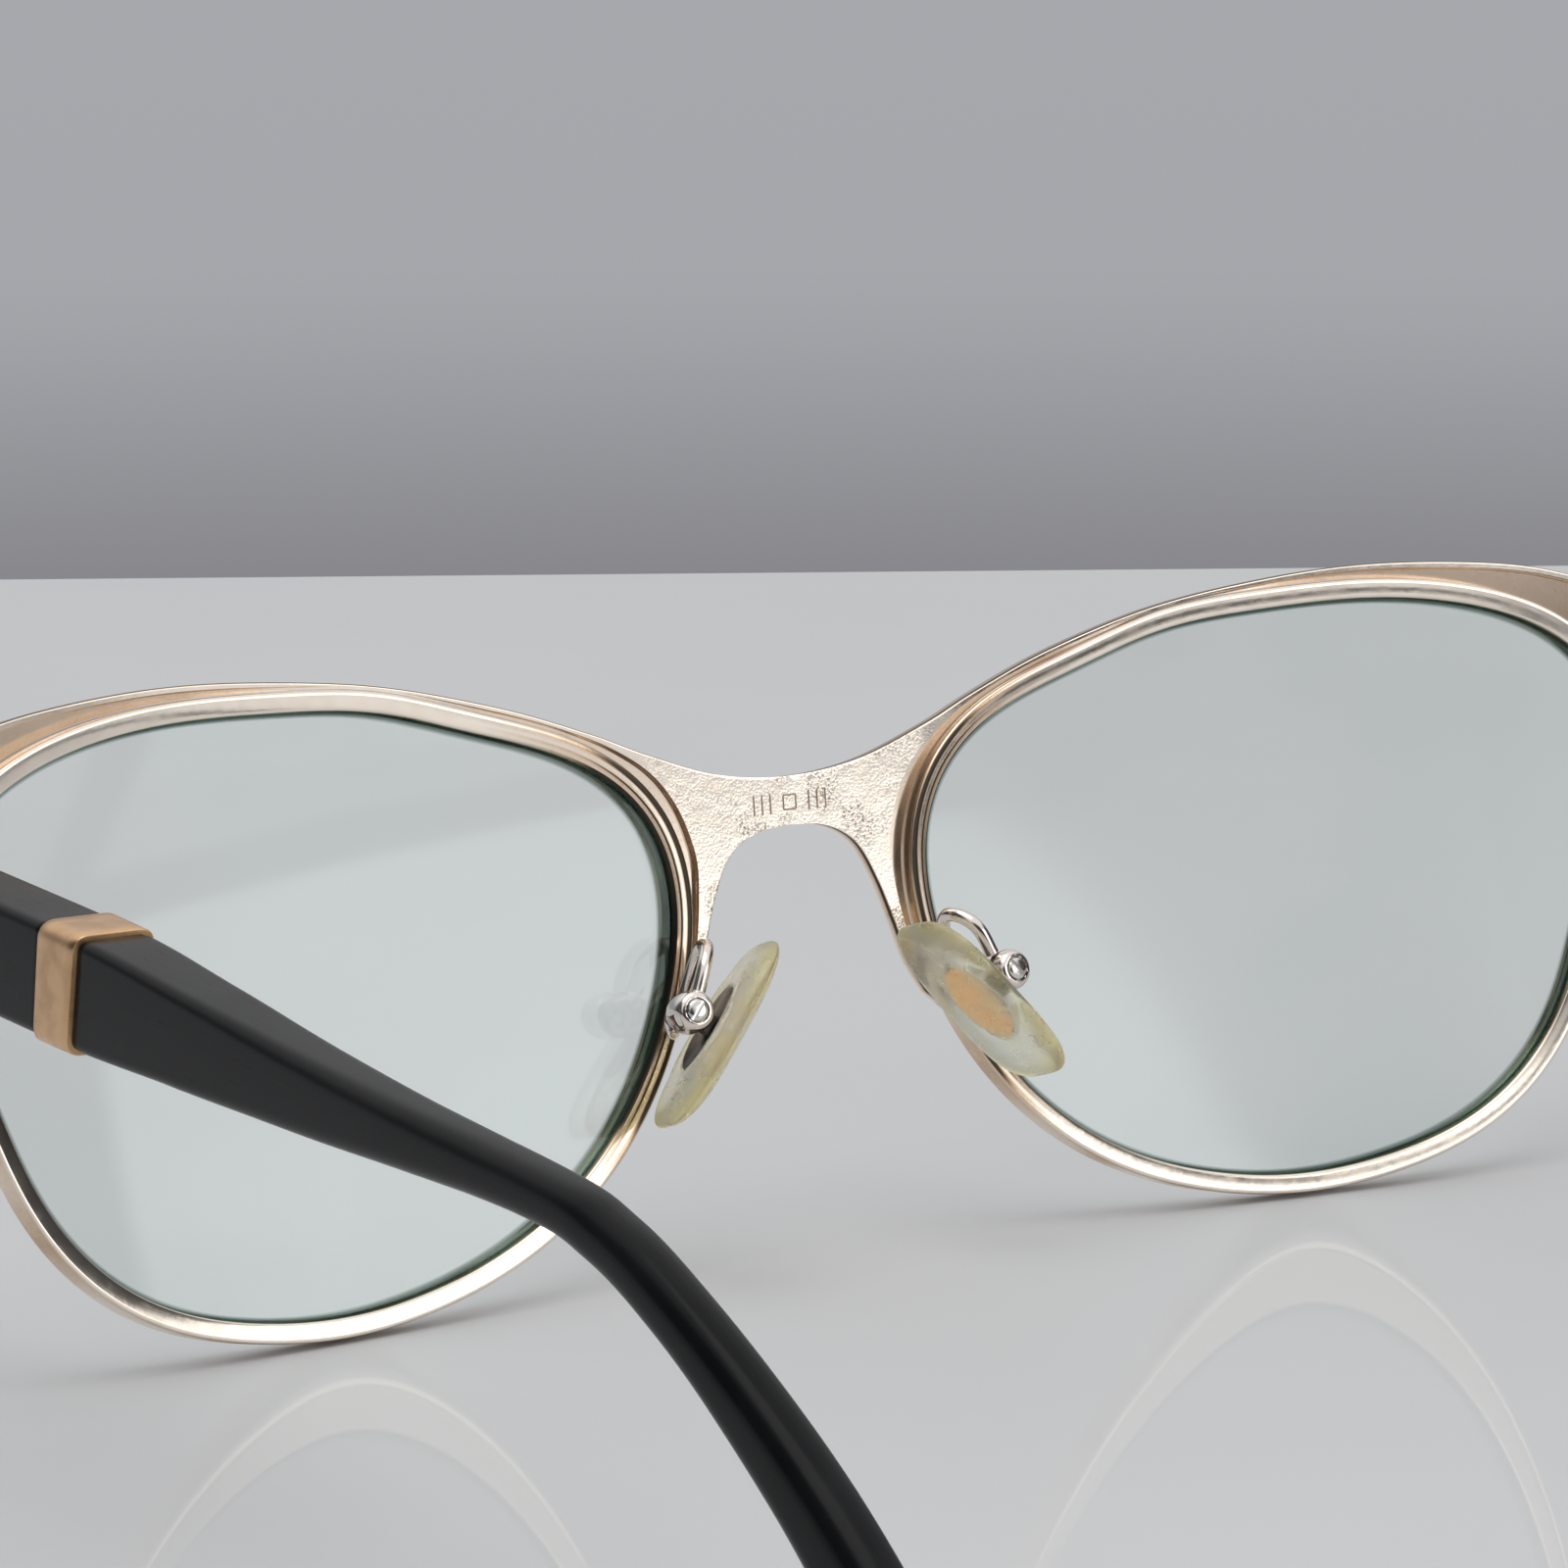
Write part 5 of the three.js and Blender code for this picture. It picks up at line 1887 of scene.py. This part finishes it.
    def end_rings(self) -> Array:
        """The rings of the tip's rounded end.

        Returns:
            The rings.
        """
        reach = 0.42 * self.section(1.0)[0]
        turns = np.linspace(0, np.pi / 2, 12)
        sizes = np.maximum(0.12, np.cos(turns))
        return np.array([self.ring(1.0, 0, s, reach * math.sin(t)) for t, s in zip(turns, sizes)])

    def stretch(self, start: float, end: float, grow: float = 0.0, soft: float = 0.12) -> Array:
        """Rings between two distances along the temple, with softened ends.

        Args:
            start: The first distance.
            end: The last distance.
            grow: How far it is grown all round.
            soft: The size of the softening.

        Returns:
            The rings.
        """
        height = self.section(start / self.length)[0]
        marks = [start, start + 0.3 * soft, start + soft]
        count = max(4, int((end - start) / 0.6))
        marks += list(np.linspace(start + soft, end - soft, count)[1:-1])
        marks += [end - soft, end - 0.3 * soft, end]
        edge = min(3, len(marks) // 2)
        sizes = [1.0] * len(marks)
        for k, size in zip(range(edge), (1 - 2 * soft / height, 1 - 0.7 * soft / height, 1.0)):
            sizes[k] = sizes[-1 - k] = size
        return np.array([self.ring(m / self.length, grow, s) for m, s in zip(marks, sizes)])

    def placed(self, solid: Solid, side: Side) -> Solid:
        """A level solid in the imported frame."""
        return solid.moved(lambda p: self.eye.place_level(p, side))

    def temple(self, side: Side) -> None:
        """The temple's head, band and long part.

        Args:
            side: Left or right.
        """
        word, body = side.word, f"temple_{side.word}"
        rings = self.stretch(0.0, self.band_start - self.gap, soft=0.22)
        head = make(f"temple_block_{word}", self.placed(loft(rings), side))
        half = self.pocket_height / 2
        hollow = brick(
            (self.inner - 1, self.pocket_start, self.rise - half),
            (self.inner + self.pocket_depth, self.pocket_end, self.rise + half),
        )
        carve(head, [self.placed(hollow, side)])
        dress(head, BLACK, "acetate", body, f"temple_head_{word}")

        band_end = self.band_start + self.band_width
        rings = self.stretch(self.band_start, band_end, self.band_proud, 0.1)
        edge = 0.6 * smoothstep(np.abs(np.linspace(-1, 1, len(rings))), 0.86, 1.0)
        masks = {"grime": np.repeat(edge[:, None], rings.shape[1], axis=1)}
        band = make(f"temple_ring_{word}", self.placed(loft(rings, masks=masks), side))
        dress(band, BAND_GOLD, "gold", body, f"temple_band_{word}")

        start = (band_end + self.gap) / self.length
        shares = start + (1 - start) * np.linspace(0, 1, 200, endpoint=False)
        softened = [self.ring(start, 0, 0.96), self.ring(start, 0, 0.985)]
        rings = np.array([*softened, *[self.ring(share) for share in shares[1:]], *self.end_rings()])
        long_part = make(f"temple_side_{word}", self.placed(loft(rings), side))
        dress(long_part, BLACK, "acetate", body, f"temple_arm_{word}")

    def endpiece(self, side: Side) -> None:
        """The block behind the wing with its leg running back to the hinge.

        Args:
            side: Left or right.
        """
        xs = self.eye.edge_x + np.array([0.22, 0.43, 0.65, 0.86]) * self.endpiece_reach
        ys = np.array([self.behind(float(x)) + self.gap for x in xs])
        inner = self.outer - self.leg
        corner = ys[-1]
        plan = [(x, y, 0.0) for x, y in zip(xs, ys)]
        plan += [
            (self.outer - 0.4, corner + 0.35, 0.5),
            (self.outer, corner + 1.1, 0.9),
            (self.outer, self.butt - self.butt_gap, 0.0),
            (inner, self.butt - self.butt_gap, 0.0),
            (inner, corner + self.arm + 0.3, 0.8),
            (xs[1], ys[1] + self.arm, 0.3),
            (xs[0], ys[0] + self.arm, 0.2),
        ]
        low = self.rise - self.endpiece_height / 2
        solid = block(rounded(plan, 8), low, low + self.endpiece_height)
        piece = make(f"endpiece_block_{side.word}", self.placed(solid, side))
        round_edges(piece, 0.35, 4)
        dress(piece, GOLD, "gold", "front", f"endpiece_{side.word}")

    def barrel(self, low: float, high: float) -> Solid:
        """One of the hinge's barrels.

        Args:
            low: Its lower end over the temple's middle height.
            high: Its upper end.

        Returns:
            The solid.
        """
        r, soft = self.barrel_radius, 0.08
        profile = [(r - soft, low), (r, low + soft), (r, high - soft), (r - soft, high)]
        return turned(profile).moved(lambda p: p + self.pin_at)

    def bore(self, side: Side) -> Solid:
        """The hole for the hinge's screw, to be cut.

        Args:
            side: Left or right.

        Returns:
            The solid.
        """
        radius = self.screw_radius + self.gap
        hole = turned([(radius, -9), (radius, 9)]).moved(lambda p: p + self.pin_at)
        return self.placed(hole, side)

    def front_leaf(self, side: Side) -> None:
        """The hinge's leaf on the endpiece, with two barrels.

        Args:
            side: Left or right.
        """
        near = self.barrel_height / 2 + self.gap
        outer = near + self.barrel_height
        edge = self.outer - self.leg - self.gap
        back = self.butt - self.butt_gap
        leaf = brick((edge - 0.9, self.arm_back + 0.4, self.rise - outer), (edge, back, self.rise + outer))
        piece = round_edges(make(f"hinge_leaf_front_{side.word}", self.placed(leaf, side)), 0.12)
        tools = []
        for low in (near, -outer):
            high = low + self.barrel_height
            web = brick(
                (self.hinge_x, self.butt - self.barrel_radius, self.rise + low),
                (edge - 0.8, back, self.rise + high),
            )
            tools += [self.placed(web, side), self.placed(self.barrel(low, high), side)]
        carve(piece, tools, Carve.JOIN)
        carve(piece, [self.bore(side)])
        dress(piece, ROSE, "steel", "front", f"hinge_front_{side.word}")

    def temple_leaf(self, side: Side) -> None:
        """The hinge's leaf in the temple's pocket, with one barrel and two rivets.

        Args:
            side: Left or right.
        """
        start, end = self.pocket_start + self.gap, self.pocket_end - self.gap
        tall, half = self.pocket_height / 2 - self.gap, self.barrel_height / 2
        leaf = brick(
            (self.inner, start, self.rise - tall),
            (self.inner + self.pocket_depth - self.gap, end, self.rise + tall),
        )
        piece = round_edges(make(f"hinge_leaf_temple_{side.word}", self.placed(leaf, side)), 0.1)
        web = brick((self.hinge_x, start, self.rise - half), (self.inner + 0.1, start + 2, self.rise + half))
        tools = [self.placed(web, side), self.placed(self.barrel(-half, half), side)]
        dome = turned([(0.5, -0.1), (0.5, 0.1), (0.42, 0.2), (0.2, 0.24)], 24)
        for along in (0.45, 0.8):
            spot = np.array([self.inner + 0.02, start + along * (self.pocket_end - start), self.rise])
            points = np.column_stack([-dome.points[:, 2], dome.points[:, 0], dome.points[:, 1]]) + spot
            tools.append(self.placed(Solid(points, dome.faces), side))
        carve(piece, tools, Carve.JOIN)
        carve(piece, [self.bore(side)])
        dress(piece, ROSE, "steel", f"temple_{side.word}", f"hinge_temple_{side.word}")

    def pin(self, side: Side) -> None:
        """The hinge's screw, its head up.

        Args:
            side: Left or right.
        """
        reach = 1.5 * self.barrel_height + self.gap
        screw = Screw(radius=self.screw_radius, head=1.0, height=0.5, low=-reach - self.gap, high=reach)
        name = f"hinge_pin_{side.word}"
        piece = screw.build(name, lambda p: self.eye.place_level(p * HEAD_UP + self.pin_at, side))
        dress(piece, STEEL, "steel", "front", f"hinge_screw_{side.word}")

    def build(self) -> None:
        """Makes and dresses everything on both sides."""
        for side in Side:
            self.temple(side)
            self.endpiece(side)
            self.front_leaf(side)
            self.temple_leaf(side)
            self.pin(side)


# ---------------------------------------------------------------------------------------------------------
# Studio


@dataclass
class Panel:
    """A soft light panel that faces the glasses."""

    name: str
    at: tuple[float, float, float]
    size: tuple[float, float]
    radiance: float
    colour: Colour = (1.0, 0.99, 0.975)
    aim_height: float = 0.02

    def build(self) -> None:
        """Hangs the panel."""
        data = bpy.data.lights.new(self.name, "AREA")
        data.shape = "RECTANGLE"
        data.size, data.size_y = self.size
        data.energy = self.radiance * math.pi * self.size[0] * self.size[1]
        data.color = self.colour
        lamp = bpy.data.objects.new(self.name, data)
        lamp.location = self.at
        toward = Vector((0, 0, self.aim_height)) - Vector(self.at)
        lamp.rotation_euler = toward.to_track_quat("-Z", "Y").to_euler()
        bpy.context.scene.collection.objects.link(lamp)


@dataclass
class Studio:
    """The table, the light and the camera."""

    eye: Eye
    camera_at: tuple[float, float, float] = (248.62, 407.66, 103.09)
    camera_fall: float = math.radians(10.962)
    camera_turn: float = math.radians(148.774)
    lens: float = 180.0
    dark_sides: tuple[tuple[Colour, float, float], ...] = (
        ((-0.97, 0.24, 0.05), 0.76, 0.90),
        ((0.34, 0.92, 0.17), 0.86, 0.94),
        ((0.96, -0.20, 0.15), 0.62, 0.85),
    )
    table_edge: float = 0.738
    table_length: float = 2.338
    table_width: float = 3.8
    table_thickness: float = 30.0
    table_turn: float = math.radians(3.1)

    def set_camera(self) -> Vector:
        """Makes the camera.

        Returns:
            The level direction that it looks in.
        """
        data = bpy.data.cameras.new("camera")
        data.lens, data.sensor_width = self.lens, 36.0
        data.clip_start, data.clip_end = 0.01, 20.0
        camera = bpy.data.objects.new("camera", data)
        camera.location = (Vector(self.camera_at) + Vector(self.eye.offset)) * MM
        camera.rotation_euler = (math.pi / 2 - self.camera_fall, 0.0, self.camera_turn)
        bpy.context.scene.collection.objects.link(camera)
        bpy.context.scene.camera = camera
        return Vector((-math.sin(self.camera_turn), math.cos(self.camera_turn), 0))

    def build_table(self, ahead: Vector) -> None:
        """The pale table, whose far edge lies across the view.

        Args:
            ahead: The level direction of the view.
        """
        ahead = Matrix.Rotation(self.table_turn, 3, "Z") @ ahead
        across = Vector((-ahead.y, ahead.x, 0))
        start = Vector(bpy.context.scene.camera.location)
        start.z = 0
        far, wide = self.table_edge, self.table_width / 2
        near = far - self.table_length
        corners = [(far, -wide), (far, wide), (near, wide), (near, -wide)]
        plan = [start + ahead * a + across * b for a, b in corners]
        outline = np.array([(p.x, p.y) for p in plan]) / MM
        table = round_edges(make("table", block(outline, -self.table_thickness, 0.0)), 2.0)
        table.data.materials.append(FLOOR.material())

    def build_world(self) -> None:
        """A grey backdrop all round with a pale ceiling."""
        world = bpy.data.worlds.new("studio")
        world.use_nodes = True
        bpy.context.scene.world = world
        net = Net(world.node_tree)
        direction = net.node("ShaderNodeTexCoord", output="Generated")
        height = net.node("ShaderNodeSeparateXYZ", {}, {0: direction}, output="Z")
        grey = [
            (0.0, (0.30, 0.305, 0.315)),
            (0.412, (0.205, 0.205, 0.224)),
            (0.421, (0.262, 0.262, 0.284)),
            (0.436, (0.378, 0.385, 0.410)),
            (0.470, (0.392, 0.398, 0.423)),
            (0.56, (0.34, 0.345, 0.36)),
            (0.72, (0.80, 0.80, 0.79)),
            (1.0, (1.0, 1.0, 0.99)),
        ]
        sky = net.node("ShaderNodeValToRGB", {"stops": grey}, {"Fac": height * 0.5 + 0.5})
        dark: Value | float = 0.0
        for toward, low, high in self.dark_sides:
            settings = {"operation": "DOT_PRODUCT"}
            near = net.node("ShaderNodeVectorMath", settings, {0: direction, 1: toward}, output="Value")
            dark = near.step(low, high).maths("MAXIMUM", dark)
        sky = net.mixed(dark * 0.94, sky, (0.02, 0.02, 0.022))
        shader = net.node("ShaderNodeBackground", {}, {"Color": sky, "Strength": 1.0})
        net.node("ShaderNodeOutputWorld", {}, {"Surface": shader})

    def build(self) -> None:
        """Makes the whole studio."""
        ahead = self.set_camera()
        self.build_table(ahead)
        self.build_world()
        Panel("window", (-0.75, 1.25, 0.42), (1.0, 0.75), 1.15).build()
        Panel("ceiling_panel", (0.25, 0.15, 1.25), (0.9, 0.9), 1.6).build()
        bpy.context.scene.view_settings.view_transform = "Standard"


def dress_kept_nodes(frame: dict[str, Any]) -> None:
    """Gives the core wires, which stay as packed, their metal.

    Args:
        frame: The loaded frame.
    """
    for side in Side:
        node = frame["nodes"][f"temple_core_{side.word}"]
        node.data.materials.clear()
        node.data.materials.append(STEEL.material())


def main() -> None:
    """Builds every sub-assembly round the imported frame."""
    logging.basicConfig(level=logging.INFO, format="%(message)s")
    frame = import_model()
    eye = Eye()
    Studio(eye).build()
    Rims(eye).build()
    plate = BrowPlate(eye)
    plate.build()
    NosePads(eye).build()
    Sides(eye, plate).build()
    dress_kept_nodes(frame)


if __name__ == "__main__":
    main()
